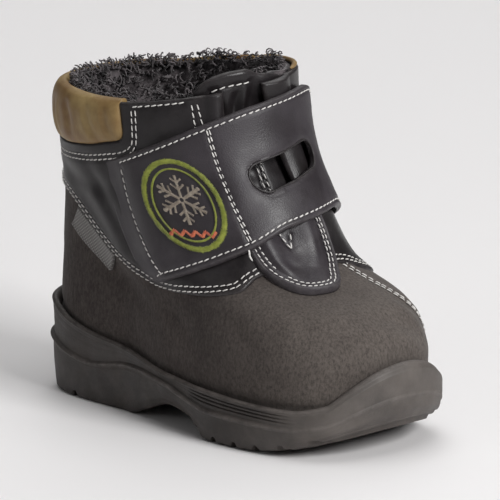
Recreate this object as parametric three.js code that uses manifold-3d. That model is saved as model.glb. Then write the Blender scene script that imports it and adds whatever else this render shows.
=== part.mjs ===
// Toddler winter boot, right foot, standing empty on its sole.
// Millimetres. +X is the toe, +Z is up, the outer side of the foot is -Y.
// While it is modelled, x = 0 is the back of the heel, y = 0 the sole's middle and z = 0 the floor.
// "turn" goes once round the boot: 0 heel, 0.25 outer side, 0.5 toe, 0.75 inner side.
import * as THREE from 'three';
import { mergeVertices } from 'three/addons/utils/BufferGeometryUtils.js';
import Module from 'manifold-3d';

const wasm = await Module();
wasm.setup();

// Driving sizes
const soleLength = 160;
const ballWidth = 76.6;
const heelWidth = 60;
const collarHeight = 110;
const heelRimHeight = 34;
const heelFloor = 13;
const ballFloor = 10;
const toeSpring = 11;
const archRise = 7.4;
const heelBumper = 4;
const toeBumper = 5.5;
const rimWall = 3.1;
const upperWall = 2.6;
const quarterThickness = 1.1;
const collarPad = 3.4;
const collarFold = 2;
const collarCrown = 0.9;
const collarLedge = 0.9;
const tongueThickness = 3.4;
const tongueRim = 1.5;
const baseThickness = 2;
const strapThickness = 2.2;
const strapRise = 1.6;
const slotLength = 31;
const slotHeight = 9.5;
const slotTilt = 12;
const throatWidth = 25;
const throatBottom = 58;
const insoleThickness = 3;
const tabLength = 24;
const tabWidth = 8.5;
const tabThickness = 1.2;
const backStripWidth = 13;
const backStripThickness = 1.3;
const lugDepth = 2.4;
const grooveWidth = 2.2;
const ridgeStep = 0.9;
const ridgeLip = 1;
const rimLip = 0.8;
const archInset = 2.2;
const gap = 0.3;

// Facets
const turnSteps = 54;
const seamStep = 0.4;
const edgeTurn = 0.0016;

const lastLength = soleLength - heelBumper - toeBumper;
const lastHalf = ballWidth / 2 - rimWall;

// Plan of the sole, heel back first and round the outer side.
// along is a share of the sole's length, across of the half width there.
const footPlan = [
  { along: 0.000, across: 0.00 },
  { along: 0.035, across: -0.64 },
  { along: 0.125, across: -0.945 },
  { along: 0.290, across: -1.00 },
  { along: 0.480, across: -0.935 },
  { along: 0.660, across: -1.00 },
  { along: 0.825, across: -0.94 },
  { along: 0.925, across: -0.745 },
  { along: 0.982, across: -0.40 },
  { along: 1.000, across: 0.05 },
  { along: 0.985, across: 0.44 },
  { along: 0.942, across: 0.71 },
  { along: 0.870, across: 0.885 },
  { along: 0.720, across: 0.965 },
  { along: 0.500, across: 0.865 },
  { along: 0.290, across: 0.97 },
  { along: 0.125, across: 0.90 },
  { along: 0.035, across: 0.60 },
];

// Level sections of the last: height is a share of collarHeight, back and front of lastLength,
// half of lastHalf, and round turns the foot's plan into the shaft's oval.
const sections = [
  { height: 0.091, back: 0.017, front: 0.983, half: 0.952, round: 0 },
  { height: 0.182, back: 0.003, front: 1.000, half: 0.995, round: 0 },
  { height: 0.273, back: 0.000, front: 1.000, half: 1.000, round: 0 },
  { height: 0.327, back: 0.000, front: 0.990, half: 0.995, round: 0 },
  { height: 0.382, back: 0.001, front: 0.967, half: 0.983, round: 0.04 },
  { height: 0.418, back: 0.003, front: 0.934, half: 0.975, round: 0.08 },
  { height: 0.445, back: 0.005, front: 0.890, half: 0.966, round: 0.14 },
  { height: 0.473, back: 0.007, front: 0.831, half: 0.960, round: 0.22 },
  { height: 0.509, back: 0.007, front: 0.781, half: 0.952, round: 0.35 },
  { height: 0.564, back: 0.007, front: 0.748, half: 0.943, round: 0.55 },
  { height: 0.636, back: 0.007, front: 0.718, half: 0.938, round: 0.80 },
  { height: 0.727, back: 0.007, front: 0.678, half: 0.938, round: 0.95 },
  { height: 0.836, back: 0.003, front: 0.635, half: 0.943, round: 1 },
  { height: 0.945, back: 0.000, front: 0.608, half: 0.955, round: 1 },
  { height: 1.055, back: 0.000, front: 0.595, half: 0.966, round: 1 },
  { height: 1.130, back: 0.000, front: 0.592, half: 0.972, round: 1 },
];

// Lines round the boot, as shares of collarHeight: the quarters' lower edge on the suede,
// the collar pad's lower edge, and the top line
const seamLine = [
  { turn: 0.000, height: 0.709 }, { turn: 0.134, height: 0.671 }, { turn: 0.160, height: 0.641 },
  { turn: 0.208, height: 0.511 }, { turn: 0.224, height: 0.471 }, { turn: 0.244, height: 0.450 },
  { turn: 0.281, height: 0.459 }, { turn: 0.326, height: 0.482 }, { turn: 0.391, height: 0.535 },
  { turn: 0.465, height: 0.545 }, { turn: 0.530, height: 0.535 }, { turn: 0.600, height: 0.495 },
  { turn: 0.680, height: 0.464 }, { turn: 0.750, height: 0.452 }, { turn: 0.790, height: 0.500 },
  { turn: 0.840, height: 0.630 }, { turn: 0.870, height: 0.672 }, { turn: 1.000, height: 0.709 },
];
const collarLine = [
  { turn: 0.000, height: 0.823 }, { turn: 0.140, height: 0.827 }, { turn: 0.213, height: 0.847 },
  { turn: 0.272, height: 0.886 }, { turn: 0.350, height: 0.900 }, { turn: 0.500, height: 0.909 },
  { turn: 0.650, height: 0.900 }, { turn: 0.728, height: 0.886 }, { turn: 0.787, height: 0.847 },
  { turn: 0.860, height: 0.827 }, { turn: 1.000, height: 0.823 },
];
const topLine = [
  { turn: 0.000, height: 1.000 }, { turn: 0.220, height: 1.000 }, { turn: 0.273, height: 1.009 },
  { turn: 0.333, height: 1.032 }, { turn: 0.425, height: 1.064 }, { turn: 0.500, height: 1.080 },
  { turn: 0.580, height: 1.093 }, { turn: 0.690, height: 1.075 }, { turn: 0.770, height: 1.042 },
  { turn: 0.850, height: 1.010 }, { turn: 1.000, height: 1.000 },
];
const collarEnds = [0.272, 0.728];
const quarterEnds = [0.393, 0.535];

// Where the throat and the strap's slot lie: across as a share of half the ball's width, and the
// slot's height as a share of collarHeight
const throatAcross = -0.185;
const slotPlace = { across: -0.052, height: 0.83 };

// Collar pad's outside from the top down: up is a share of its height, out of its thickness
const collarOutside = [
  { up: 1, out: 0.3 }, { up: 0.8, out: 0.72 }, { up: 0.5, out: 0.85 }, { up: 0.2, out: 0.72 },
  { up: 0, out: 0.3 },
];

// The strap: its two edges as shares of collarHeight, how far it is lifted over the throat as a
// share of strapRise, and its body as a share of strapThickness, thin where it leaves the quarter
const strapPlan = [
  { turn: 0.250, low: 0.463, high: 0.823, lift: 0.0, body: 0.25 },
  { turn: 0.283, low: 0.489, high: 0.859, lift: 0.0, body: 1 },
  { turn: 0.333, low: 0.532, high: 0.911, lift: 0.1, body: 1 },
  { turn: 0.400, low: 0.584, high: 0.975, lift: 0.9, body: 1 },
  { turn: 0.466, low: 0.641, high: 1.018, lift: 1.0, body: 1 },
  { turn: 0.560, low: 0.664, high: 1.044, lift: 0.9, body: 1 },
  { turn: 0.640, low: 0.618, high: 0.982, lift: 0.2, body: 1 },
  { turn: 0.700, low: 0.564, high: 0.918, lift: 0.0, body: 1 },
];
const strapCorner = 7;

// Tongue: its top edge as shares of collarHeight
const tonguePlan = [
  { turn: 0.376, high: 1.040 }, { turn: 0.395, high: 1.088 }, { turn: 0.430, high: 1.102 },
  { turn: 0.470, high: 1.108 }, { turn: 0.515, high: 1.102 }, { turn: 0.540, high: 1.085 },
  { turn: 0.560, high: 1.040 },
];
const tongueFoot = 0.56;

// Leather apron over the foot of the throat: a U whose tip is on the vamp
const basePlan = { middle: 0.463, halfTurn: 0.067, tip: 0.470, side: 0.566, high: 0.672 };

// Sole, along its length: floor inside, arch, rim and the ridge round its side.
// rim and ridge are shares of heelRimHeight, arch of archRise, spring of toeSpring.
const soleProfile = [
  { along: 0.00, rim: 1.00, ridge: 0.60, arch: 0.00 },
  { along: 0.05, rim: 0.97, ridge: 0.57, arch: 0.00 },
  { along: 0.15, rim: 0.82, ridge: 0.46, arch: 0.00 },
  { along: 0.22, rim: 0.75, ridge: 0.42, arch: 0.00 },
  { along: 0.34, rim: 0.68, ridge: 0.50, arch: 0.00 },
  { along: 0.40, rim: 0.64, ridge: 0.51, arch: 0.42 },
  { along: 0.48, rim: 0.59, ridge: 0.48, arch: 1.00 },
  { along: 0.56, rim: 0.555, ridge: 0.39, arch: 0.74 },
  { along: 0.59, rim: 0.545, ridge: 0.36, arch: 0.38 },
  { along: 0.625, rim: 0.54, ridge: 0.33, arch: 0.00 },
  { along: 0.74, rim: 0.51, ridge: 0.315, arch: 0.00 },
  { along: 0.86, rim: 0.50, ridge: 0.31, arch: 0.00 },
  { along: 0.93, rim: 0.56, ridge: 0.36, arch: 0.00 },
  { along: 0.965, rim: 0.72, ridge: 0.46, arch: 0.00 },
  { along: 1.00, rim: 0.93, ridge: 0.60, arch: 0.00 },
];
const springStart = 0.7;
const springInside = 0.7;
const floorSlope = { start: 0.2, end: 0.6 };
const ridgeFade = { start: 0.74, end: 0.88 };
const noseSpan = { start: 0.86, end: 1 };
const grooveSpan = { start: 0.55, full: 0.63, fade: 0.8, end: 0.9 };

// Section of the sole's side from the tread up. Below the ridge up is a share of the way to it,
// above it a share of the way to the rim. inset is in from the widest line, and arch, nose, ridge
// and groove say how much of each of those is added to it.
const lowerSide = [
  { up: 0, rise: 0, inset: 3.4, arch: 1, nose: 1 },
  { up: 0, rise: 1.1, inset: 1.7, arch: 1, nose: 1 },
  { up: 0.45, rise: 0, inset: 0.9, arch: 0.4, nose: 0 },
  { up: 1, rise: -1, inset: 0.25, arch: 0, nose: 0 },
  { up: 1, rise: 0, inset: 0, arch: 0, nose: 0 },
];
const upperSide = [
  { up: 0, inset: 0, ridge: 1, nose: 0, groove: 0 },
  { up: 0.2, inset: 0, ridge: 1, nose: 0, groove: 0 },
  { up: 0.3, inset: 0, ridge: 1, nose: 0, groove: 1 },
  { up: 0.4, inset: 0, ridge: 0.9, nose: 0, groove: 0 },
  { up: 0.5, inset: 0, ridge: 0.9, nose: 0, groove: 0 },
  { up: 0.6, inset: 0, ridge: 0.9, nose: 0, groove: 1 },
  { up: 0.7, inset: 0, ridge: 0.7, nose: 0, groove: 0 },
  { up: 0.86, inset: 0, ridge: 0.5, nose: 0.5, groove: 0 },
  { up: 1, inset: 0.8, ridge: 0, nose: 1, groove: 0 },
];
const rimSide = { inset: 1.6, nose: 1.4 };
const sideGrooveDepth = 0.5;

// Cross grooves between the lugs, as shares of soleLength
const lugPlaces = [0.09, 0.2, 0.64, 0.7, 0.76, 0.82, 0.88, 0.94];
const lugSlant = 14;
const lugSpine = 9;

const mix = (a, b, t) => a + (b - a) * t;
const clamp01 = (t) => Math.min(1, Math.max(0, t));
const soft = (t) => clamp01(t) ** 2 * (3 - 2 * clamp01(t));
const ramp = (x, { start, end }) => soft((x - start) / (end - start));

// A smooth curve through one column of a table, without overshoot
function curve(table, key, column) {
  const at = table.map((row) => row[key]);
  const value = table.map((row) => row[column]);
  const slope = at.slice(1).map((x, i) => (value[i + 1] - value[i]) / (x - at[i]));
  const tangent = at.map((x, i) => {
    if (i === 0 || i === at.length - 1) return slope[Math.min(i, slope.length - 1)];
    const [before, after] = [slope[i - 1], slope[i]];
    return before * after <= 0 ? 0 : (2 * before * after) / (before + after);
  });
  return (x) => {
    const place = Math.min(at[at.length - 1], Math.max(at[0], x));
    let i = 0;
    while (i < at.length - 2 && place > at[i + 1]) i += 1;
    const span = at[i + 1] - at[i];
    const t = (place - at[i]) / span;
    return mix(value[i], value[i + 1], t * t * (3 - 2 * t))
      + t * (1 - t) * span * (tangent[i] * (1 - t) - tangent[i + 1] * t);
  };
}

const sectionCurve = {
  back: curve(sections, 'height', 'back'),
  front: curve(sections, 'height', 'front'),
  half: curve(sections, 'height', 'half'),
  round: curve(sections, 'height', 'round'),
};
const seamHeight = curve(seamLine, 'turn', 'height');
const collarLow = curve(collarLine, 'turn', 'height');
const topHeight = curve(topLine, 'turn', 'height');
const seamZ = (turn) => collarHeight * seamHeight(turn);
const collarZ = (turn) => collarHeight * collarLow(turn);
const topZ = (turn) => collarHeight * topHeight(turn);

// Catmull-Rom through the foot's plan, in shares of length and of half the ball's width
function footShare(turn) {
  const count = footPlan.length;
  const place = (((turn % 1) + 1) % 1) * count;
  const i = Math.floor(place);
  const t = place - i;
  const [p0, p1, p2, p3] = [-1, 0, 1, 2].map((k) => footPlan[(i + k + count) % count]);
  const spline = (a, b, c, d) => 0.5 * (2 * b + (c - a) * t
    + (2 * a - 5 * b + 4 * c - d) * t * t + (3 * b - a - 3 * c + d) * t ** 3);
  const along = spline(p0.along, p1.along, p2.along, p3.along);
  const across = spline(p0.across, p1.across, p2.across, p3.across);
  return { along, across: across * mix(heelWidth / ballWidth, 1, soft((along - 0.3) / 0.2)) };
}

// The shaft's oval, in the same shares
function ovalShare(turn) {
  const squareness = 2 / 2.2;
  const [c, s] = [Math.cos(2 * Math.PI * turn), Math.sin(2 * Math.PI * turn)];
  return {
    along: 0.5 - 0.5 * Math.sign(c) * Math.abs(c) ** squareness,
    across: -Math.sign(s) * Math.abs(s) ** squareness,
  };
}

// The last's own surface at a turn and a height
function lastPoint(turn, z) {
  const share = z / collarHeight;
  const [foot, oval] = [footShare(turn), ovalShare(turn)];
  const round = sectionCurve.round(share);
  const back = sectionCurve.back(share);
  const front = sectionCurve.front(share);
  return new THREE.Vector3(
    heelBumper + lastLength * mix(back, front, mix(foot.along, oval.along, round)),
    lastHalf * sectionCurve.half(share) * mix(foot.across, oval.across, round),
    z,
  );
}

// The same point moved outwards by stand
function skin(turn, z, stand = 0) {
  const [turnStep, heightStep] = [0.002, 0.5];
  const acrossTurn = lastPoint(turn + turnStep, z).sub(lastPoint(turn - turnStep, z));
  const upWall = lastPoint(turn, z + heightStep).sub(lastPoint(turn, z - heightStep));
  const outward = acrossTurn.cross(upWall).normalize();
  return lastPoint(turn, z).addScaledVector(outward, stand);
}

// Sole heights at a share of its length
const rimShare = curve(soleProfile, 'along', 'rim');
const ridgeShare = curve(soleProfile, 'along', 'ridge');
const archShare = curve(soleProfile, 'along', 'arch');
const springZ = (along) => toeSpring * clamp01((along - springStart) / (1 - springStart)) ** 2;
const bottomZ = (along) => springZ(along) + archRise * archShare(along);
const floorZ = (along) => mix(heelFloor, ballFloor, ramp(along, floorSlope)) + springInside * springZ(along);
const rimZ = (along) => heelRimHeight * rimShare(along);
const ridgeZ = (along) => heelRimHeight * ridgeShare(along);

// The sole's outline, set in from its widest line
function solePoint(turn, inset, height) {
  const { along, across } = footShare(turn);
  const x = inset + (soleLength - 2 * inset) * along;
  return new THREE.Vector3(x, (ballWidth / 2 - inset) * across, height(along));
}

// Closed geometry from points and faces, its faces turned outwards
function closedGeometry(points, faces) {
  let volume = 0;
  for (let i = 0; i < faces.length; i += 3) {
    const [a, b, c] = [points[faces[i]], points[faces[i + 1]], points[faces[i + 2]]];
    volume += a.dot(new THREE.Vector3().crossVectors(b, c));
  }
  const index = volume > 0 ? faces : faces.slice().reverse();
  const geometry = new THREE.BufferGeometry();
  geometry.setAttribute('position', new THREE.Float32BufferAttribute(points.flatMap((p) => p.toArray()), 3));
  geometry.setIndex(index);
  return geometry;
}

// Two triangles for each cell between neighbouring rows
function weave(rowCount, rowLength, joinRows, joinEnds) {
  const faces = [];
  const lastRow = joinRows ? rowCount : rowCount - 1;
  const lastPlace = joinEnds ? rowLength : rowLength - 1;
  for (let r = 0; r < lastRow; r += 1) {
    for (let k = 0; k < lastPlace; k += 1) {
      const [r2, k2] = [(r + 1) % rowCount, (k + 1) % rowLength];
      const [a, b, c, d] = [r * rowLength + k, r * rowLength + k2, r2 * rowLength + k2, r2 * rowLength + k];
      faces.push(a, b, c, a, c, d);
    }
  }
  return faces;
}

// A tube wall: rows that run round the boot, the last row joined to the first
const ringWall = (rows) => closedGeometry(rows.flat(), weave(rows.length, rows[0].length, true, true));

// Fills a ring with rows from its outer to its inner side, at a height that follows x.
// The ring starts at the heel, and its two halves have as many points.
function fillAcross(points, faces, ringStart, count, height, turnOver) {
  const cells = 4;
  const toe = count / 2;
  const add = (a, b, c) => faces.push(a, ...(turnOver ? [c, b] : [b, c]));
  const lines = [];
  for (let i = 1; i < toe; i += 1) {
    const [from, to] = [ringStart + i, ringStart + count - i];
    const line = [from];
    for (let k = 1; k < cells; k += 1) {
      const point = points[from].clone().lerp(points[to], k / cells);
      point.z = height(point.x / soleLength);
      line.push(points.push(point) - 1);
    }
    lines.push([...line, to]);
  }
  const [first, last] = [lines[0], lines[lines.length - 1]];
  for (let k = 0; k < cells; k += 1) {
    add(ringStart, first[k + 1], first[k]);
    add(ringStart + toe, last[k], last[k + 1]);
    for (let i = 0; i + 1 < lines.length; i += 1) {
      const [a, b, c, d] = [lines[i][k], lines[i][k + 1], lines[i + 1][k + 1], lines[i + 1][k]];
      add(a, b, c);
      add(a, c, d);
    }
  }
}

// A body of rows that run round the boot, its first and last row filled across
function filledBody(rows, firstHeight, lastHeight) {
  const count = rows[0].length;
  const points = rows.flat();
  const faces = weave(rows.length, count, false, true);
  fillAcross(points, faces, 0, count, firstHeight, false);
  fillAcross(points, faces, (rows.length - 1) * count, count, lastHeight, true);
  return closedGeometry(points, faces);
}

// A band: closed cross sections one after another, with both ends filled
function band(loops) {
  const length = loops[0].length;
  const faces = weave(loops.length, length, false, true);
  const start = (loops.length - 1) * length;
  for (let k = 0; k + 1 < length / 2; k += 1) {
    const [near, far] = [length - 1 - k, length - 2 - k];
    faces.push(k, far, k + 1, k, near, far);
    faces.push(start + k, start + k + 1, start + far, start + k, start + far, start + near);
  }
  return closedGeometry(loops.flat(), faces);
}

// A sheet that follows the last: edges(turn) gives low and high, stands(turn, z) inner and outer
function sheet(turns, rows, edges, stands) {
  return band(turns.map((turn) => {
    const { low, high } = edges(turn);
    const heights = Array.from({ length: rows }, (_, i) => mix(low, high, i / (rows - 1)));
    const outside = heights.map((z) => skin(turn, z, stands(turn, z).outer));
    const inside = heights.map((z) => skin(turn, z, stands(turn, z).inner));
    return [...outside, ...inside.reverse()];
  }));
}

const span = (from, to, steps) => Array.from({ length: steps + 1 }, (_, i) => mix(from, to, i / steps));

function toManifold(geometry) {
  const bare = new THREE.BufferGeometry();
  bare.setAttribute('position', geometry.getAttribute('position').clone());
  if (geometry.index) bare.setIndex(geometry.index.clone());
  const merged = mergeVertices(bare, 1e-5);
  return new wasm.Manifold(new wasm.Mesh({
    numProp: 3,
    vertProperties: new Float32Array(merged.getAttribute('position').array),
    triVerts: new Uint32Array(merged.index.array),
  }));
}

function cutFrom(body, cutters) {
  let solid = toManifold(body);
  for (const cutter of cutters) solid = solid.subtract(toManifold(cutter));
  const mesh = solid.getMesh();
  const geometry = new THREE.BufferGeometry();
  geometry.setAttribute('position', new THREE.Float32BufferAttribute(mesh.vertProperties, 3));
  geometry.setIndex([...mesh.triVerts]);
  return geometry;
}

// Turns round the boot, with a close pair at each place where the wall steps
function wallTurns() {
  const steps = [...collarEnds, ...quarterEnds];
  const even = span(0, 1 - 1 / turnSteps, turnSteps - 1);
  const free = even.filter((turn) => steps.every((place) => Math.abs(turn - place) > 3 * edgeTurn));
  const pairs = steps.flatMap((place) => [place - edgeTurn, place + edgeTurn]);
  return [...free, ...pairs].sort((a, b) => a - b);
}
const underCollar = (turn) => turn < collarEnds[0] || turn > collarEnds[1];
const underQuarter = (turn) => turn < quarterEnds[0] || turn > quarterEnds[1];
const alongAt = (point) => clamp01(point.x / soleLength);

// Upper: suede galosh, quarters as a step over it, and a ledge for the collar pad
function upperGeometry() {
  const turns = wallTurns();
  const galoshRows = [0, 0.22, 0.42, 0.57, 0.69, 0.77, 0.83, 0.89, 0.95, 1];
  const quarterRows = [0, 0.25, 0.5, 0.75, 1];
  const collarRows = [0, 0.5, 1];
  const footZ = (turn) => floorZ(alongAt(lastPoint(turn, heelFloor))) + gap;
  const rimTop = (turn) => topZ(turn) - (underCollar(turn) ? collarFold : 0);
  const quarterStand = (turn) => (underQuarter(turn) ? quarterThickness : 0);
  const ledgeStand = (turn) => (underCollar(turn) ? -collarLedge : quarterStand(turn));
  const galosh = galoshRows.map((t) => (turn) => [mix(footZ(turn), seamZ(turn), t), 0]);
  const quarter = quarterRows.map((t) => (turn) => [
    mix(seamZ(turn) + seamStep, collarZ(turn), t), quarterStand(turn)]);
  const ledge = collarRows.map((t) => (turn) => [
    mix(collarZ(turn) + seamStep, rimTop(turn), t), ledgeStand(turn)]);
  const outside = [...galosh, ...quarter, ...ledge];
  const inside = [...galosh, ...quarter.slice(1), ...ledge.slice(1)].reverse()
    .map((place) => (turn) => [place(turn)[0], -upperWall]);
  const rows = [...outside, ...inside].map((place) => turns.map((turn) => skin(turn, ...place(turn))));
  return cutFrom(ringWall(rows), [throatCutter()]);
}

// The throat between the quarters: straight sides, round at the bottom
function throatCutter() {
  const half = throatWidth / 2;
  const throatMiddle = throatAcross * ballWidth / 2;
  const top = 1.3 * collarHeight;
  const shape = new THREE.Shape();
  shape.moveTo(throatMiddle + half, top);
  shape.lineTo(throatMiddle - half, top);
  shape.lineTo(throatMiddle - half, throatBottom + half);
  shape.absarc(throatMiddle, throatBottom + half, half, Math.PI, 2 * Math.PI, false);
  const geometry = new THREE.ExtrudeGeometry(shape, {
    depth: soleLength, bevelEnabled: false, curveSegments: 8,
  });
  // shape x runs along the boot's y, shape y along its z, and the depth along its x
  geometry.applyMatrix4(new THREE.Matrix4().set(
    0, 0, 1, 0.5 * soleLength, 1, 0, 0, 0, 0, 1, 0, 0, 0, 0, 0, 1));
  return geometry;
}

// Padded collar: outside the ledge, over the rim and down to the lining
function collarGeometry() {
  const ledgeStand = gap - collarLedge;
  const clearTurn = 2.4 * edgeTurn;
  const [end, start] = [collarEnds[0] - clearTurn, collarEnds[1] + clearTurn];
  const turns = [start, ...wallTurns().filter((t) => t > start), ...wallTurns().filter((t) => t < end), end];
  const section = (turn) => {
    const low = collarZ(turn) + seamStep + gap;
    const ledgeTop = topZ(turn) - collarFold + gap;
    const high = topZ(turn);
    return [
      [low, ledgeStand],
      [mix(low, high, 1 / 3), ledgeStand],
      [mix(low, high, 2 / 3), ledgeStand],
      [ledgeTop, ledgeStand],
      [ledgeTop, -upperWall],
      [high, -upperWall],
      [high + collarCrown, -collarLedge],
      ...collarOutside.map(({ up, out }) => [mix(low, high, up), out * collarPad]),
    ];
  };
  return band(turns.map((turn) => section(turn).map(([z, stand]) => skin(turn, z, stand))));
}

// Tongue: a padded sheet under the quarters
function tongueGeometry() {
  const high = curve(tonguePlan, 'turn', 'high');
  const [start, end] = [tonguePlan[0].turn, tonguePlan[tonguePlan.length - 1].turn];
  const outer = -upperWall - gap;
  const edges = (turn) => ({ low: collarHeight * tongueFoot, high: collarHeight * high(turn) });
  const body = (turn, z) => {
    const fadeTurn = 0.01;
    const rim = Math.min((edges(turn).high - z) / (2 * tongueRim), (turn - start) / fadeTurn,
      (end - turn) / fadeTurn);
    return mix(tongueRim / tongueThickness, 1, soft(rim));
  };
  const stands = (turn, z) => ({ outer, inner: outer - tongueThickness * body(turn, z) });
  return sheet(span(start, end, 18), 9, edges, stands);
}

// Leather apron over the foot of the throat
function tongueBaseGeometry() {
  const { middle, halfTurn, tip, side, high } = basePlan;
  const reach = 0.995;
  const edges = (turn) => {
    const arc = Math.sqrt(Math.max(0, 1 - ((turn - middle) / halfTurn) ** 2));
    return { low: collarHeight * mix(side, tip, arc), high: collarHeight * high };
  };
  const stands = () => ({ inner: 2 * gap, outer: 2 * gap + baseThickness });
  const turns = span(-1, 1, 20).map((t) => middle + halfTurn * reach * Math.sin(0.5 * Math.PI * t));
  return sheet(turns, 6, edges, stands);
}

// Strap: from the outer quarter over the throat to its round-cornered end on the inner side
const strapCurve = {
  low: curve(strapPlan, 'turn', 'low'),
  high: curve(strapPlan, 'turn', 'high'),
  lift: curve(strapPlan, 'turn', 'lift'),
  body: curve(strapPlan, 'turn', 'body'),
};
function strapGeometry() {
  const [start, end] = [strapPlan[0].turn, strapPlan[strapPlan.length - 1].turn];
  const endZ = collarHeight * strapCurve.high(end);
  const turnLength = skin(end, endZ).distanceTo(skin(end - 0.01, endZ)) / 0.01;
  const cornerTurn = strapCorner / turnLength;
  const edges = (turn) => {
    const past = clamp01((turn - (end - cornerTurn)) / cornerTurn);
    const corner = strapCorner * (1 - Math.sqrt(1 - past * past));
    return {
      low: collarHeight * strapCurve.low(turn) + corner,
      high: collarHeight * strapCurve.high(turn) - corner,
    };
  };
  const stands = (turn) => {
    const inner = quarterThickness + 2 * gap + strapRise * strapCurve.lift(turn);
    return { inner, outer: inner + strapThickness * strapCurve.body(turn) };
  };
  const straight = span(start, end - cornerTurn, 36);
  const rounded = span(0, 1, 5).slice(1).map((t) => end - cornerTurn * (1 - Math.sin(0.5 * Math.PI * t)));
  return cutFrom(sheet([...straight, ...rounded], 5, edges, stands), [slotCutter()]);
}

// The strap's slot, seen from the front: a bar with round ends that rises to the inner side
function slotCutter() {
  const half = slotHeight / 2;
  const reach = slotLength / 2 - half;
  const shape = new THREE.Shape();
  shape.absarc(-reach, 0, half, 0.5 * Math.PI, 1.5 * Math.PI, false);
  shape.absarc(reach, 0, half, -0.5 * Math.PI, 0.5 * Math.PI, false);
  const geometry = new THREE.ExtrudeGeometry(shape, {
    depth: soleLength, bevelEnabled: false, curveSegments: 6,
  });
  const [across, up] = [slotPlace.across * ballWidth / 2, slotPlace.height * collarHeight];
  geometry.rotateZ(THREE.MathUtils.degToRad(slotTilt));
  geometry.applyMatrix4(new THREE.Matrix4().set(
    0, 0, 1, 0.5 * soleLength, 1, 0, 0, across, 0, 1, 0, up, 0, 0, 0, 1));
  return geometry;
}

// Sole: tread, side wall with its ridge and grooves, rim, and the cup inside
function soleGeometry() {
  const turns = span(0, 1 - 1 / turnSteps, turnSteps - 1);
  const ridgeDepth = (along) => ridgeStep * (1 - ramp(along, ridgeFade));
  const grooveDepth = (along) => sideGrooveDepth
    * ramp(along, { start: grooveSpan.start, end: grooveSpan.full })
    * (1 - ramp(along, { start: grooveSpan.fade, end: grooveSpan.end }));
  const archIn = (along) => archInset * archShare(along);
  const noseIn = (along) => ramp(along, noseSpan);
  const lower = lowerSide.map(({ up, rise, inset, arch, nose }) => [
    (along) => inset + arch * archIn(along) + nose * noseIn(along),
    (along) => mix(bottomZ(along), ridgeZ(along), up) + rise]);
  const upper = upperSide.map(({ up, inset, ridge, nose, groove }) => [
    (along) => inset + ridge * ridgeDepth(along) + nose * noseIn(along) + groove * grooveDepth(along),
    (along) => mix(ridgeZ(along) + ridgeLip, rimZ(along) - rimLip, up)]);
  const rim = [(along) => rimSide.inset + rimSide.nose * noseIn(along), rimZ];
  const side = [...lower, ...upper, rim];
  const outer = side.map(([inset, height]) => turns.map((turn) => {
    const { along } = footShare(turn);
    return solePoint(turn, inset(along), height);
  }));
  const cup = [0, 0.35, 0.7, 1].map((t) => turns.map((turn) => {
    const along = alongAt(lastPoint(turn, heelFloor));
    return skin(turn, mix(rimZ(along) - gap, floorZ(along), t), gap);
  }));
  const rows = [...outer, ...cup, floorRing(turns, 0)];
  return cutFrom(filledBody(rows, bottomZ, floorZ), lugCutters());
}

// Slanting grooves from a solid spine out through the sole's edge, on both sides
function lugCutters() {
  return lugPlaces.flatMap((along) => [-1, 1].map((sideSign) => {
    const height = 2 * (bottomZ(along) + lugDepth);
    const geometry = new THREE.BoxGeometry(grooveWidth, ballWidth, height);
    geometry.translate(0, sideSign * ballWidth / 2, 0);
    geometry.rotateZ(THREE.MathUtils.degToRad(sideSign * lugSlant));
    geometry.translate(soleLength * along, sideSign * lugSpine / 2, 0);
    return geometry;
  }));
}

// The insole's edge, inside the upper's wall, lifted off the floor of the cup
function floorRing(turns, lift) {
  return turns.map((turn) => {
    const along = alongAt(lastPoint(turn, heelFloor));
    const edge = skin(turn, floorZ(along) + gap, -upperWall - 2 * gap);
    edge.z = floorZ(edge.x / soleLength) + lift;
    return edge;
  });
}

// Insole: a loose footbed inside the upper's foot
function insoleGeometry() {
  const turns = span(0, 1 - 1 / turnSteps, turnSteps - 1);
  const [under, over] = [gap, gap + insoleThickness];
  const heightAbove = (lift) => (along) => floorZ(along) + lift;
  const rows = [floorRing(turns, under), floorRing(turns, over)];
  return filledBody(rows, heightAbove(under), heightAbove(over));
}

// The turn on the outer side where the last is at x, at a height
function outerTurn(x, z) {
  let [low, high] = [0, 0.5];
  for (let i = 0; i < 30; i += 1) {
    const middle = (low + high) / 2;
    if (lastPoint(middle, z).x < x) low = middle;
    else high = middle;
  }
  return (low + high) / 2;
}

// Folded woven tab, sewn in along the outer quarter's edge
function sideTabGeometry() {
  const [x0, slope] = [0.185 * soleLength, THREE.MathUtils.degToRad(-33)];
  const z0 = seamZ(outerTurn(x0, 0.62 * collarHeight)) - 1.5;
  const loops = span(0, tabLength, 8).map((along) => {
    const line = span(0, -tabWidth, 4).map((across) => {
      const x = x0 + along * Math.cos(slope) - across * Math.sin(slope);
      const z = z0 + along * Math.sin(slope) + across * Math.cos(slope);
      return [outerTurn(x, z), z];
    });
    const outside = line.map(([turn, z]) => skin(turn, z, 1.5 * gap + tabThickness));
    const inside = line.map(([turn, z]) => skin(turn, z, 1.5 * gap));
    return [...outside, ...inside.reverse()];
  });
  return band(loops);
}

// Narrow strip over the heel seam, from the collar down onto the suede
function backStripGeometry() {
  const middleZ = 0.75 * collarHeight;
  const halfTurn = 0.005 * backStripWidth / skin(0.005, middleZ).distanceTo(skin(-0.005, middleZ));
  const edges = () => ({ low: 0.6 * collarHeight, high: collarZ(0) - gap });
  const inner = quarterThickness + gap;
  const stands = () => ({ inner, outer: inner + backStripThickness });
  return sheet(span(-halfTurn, halfTurn, 6), 7, edges, stands);
}

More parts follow.
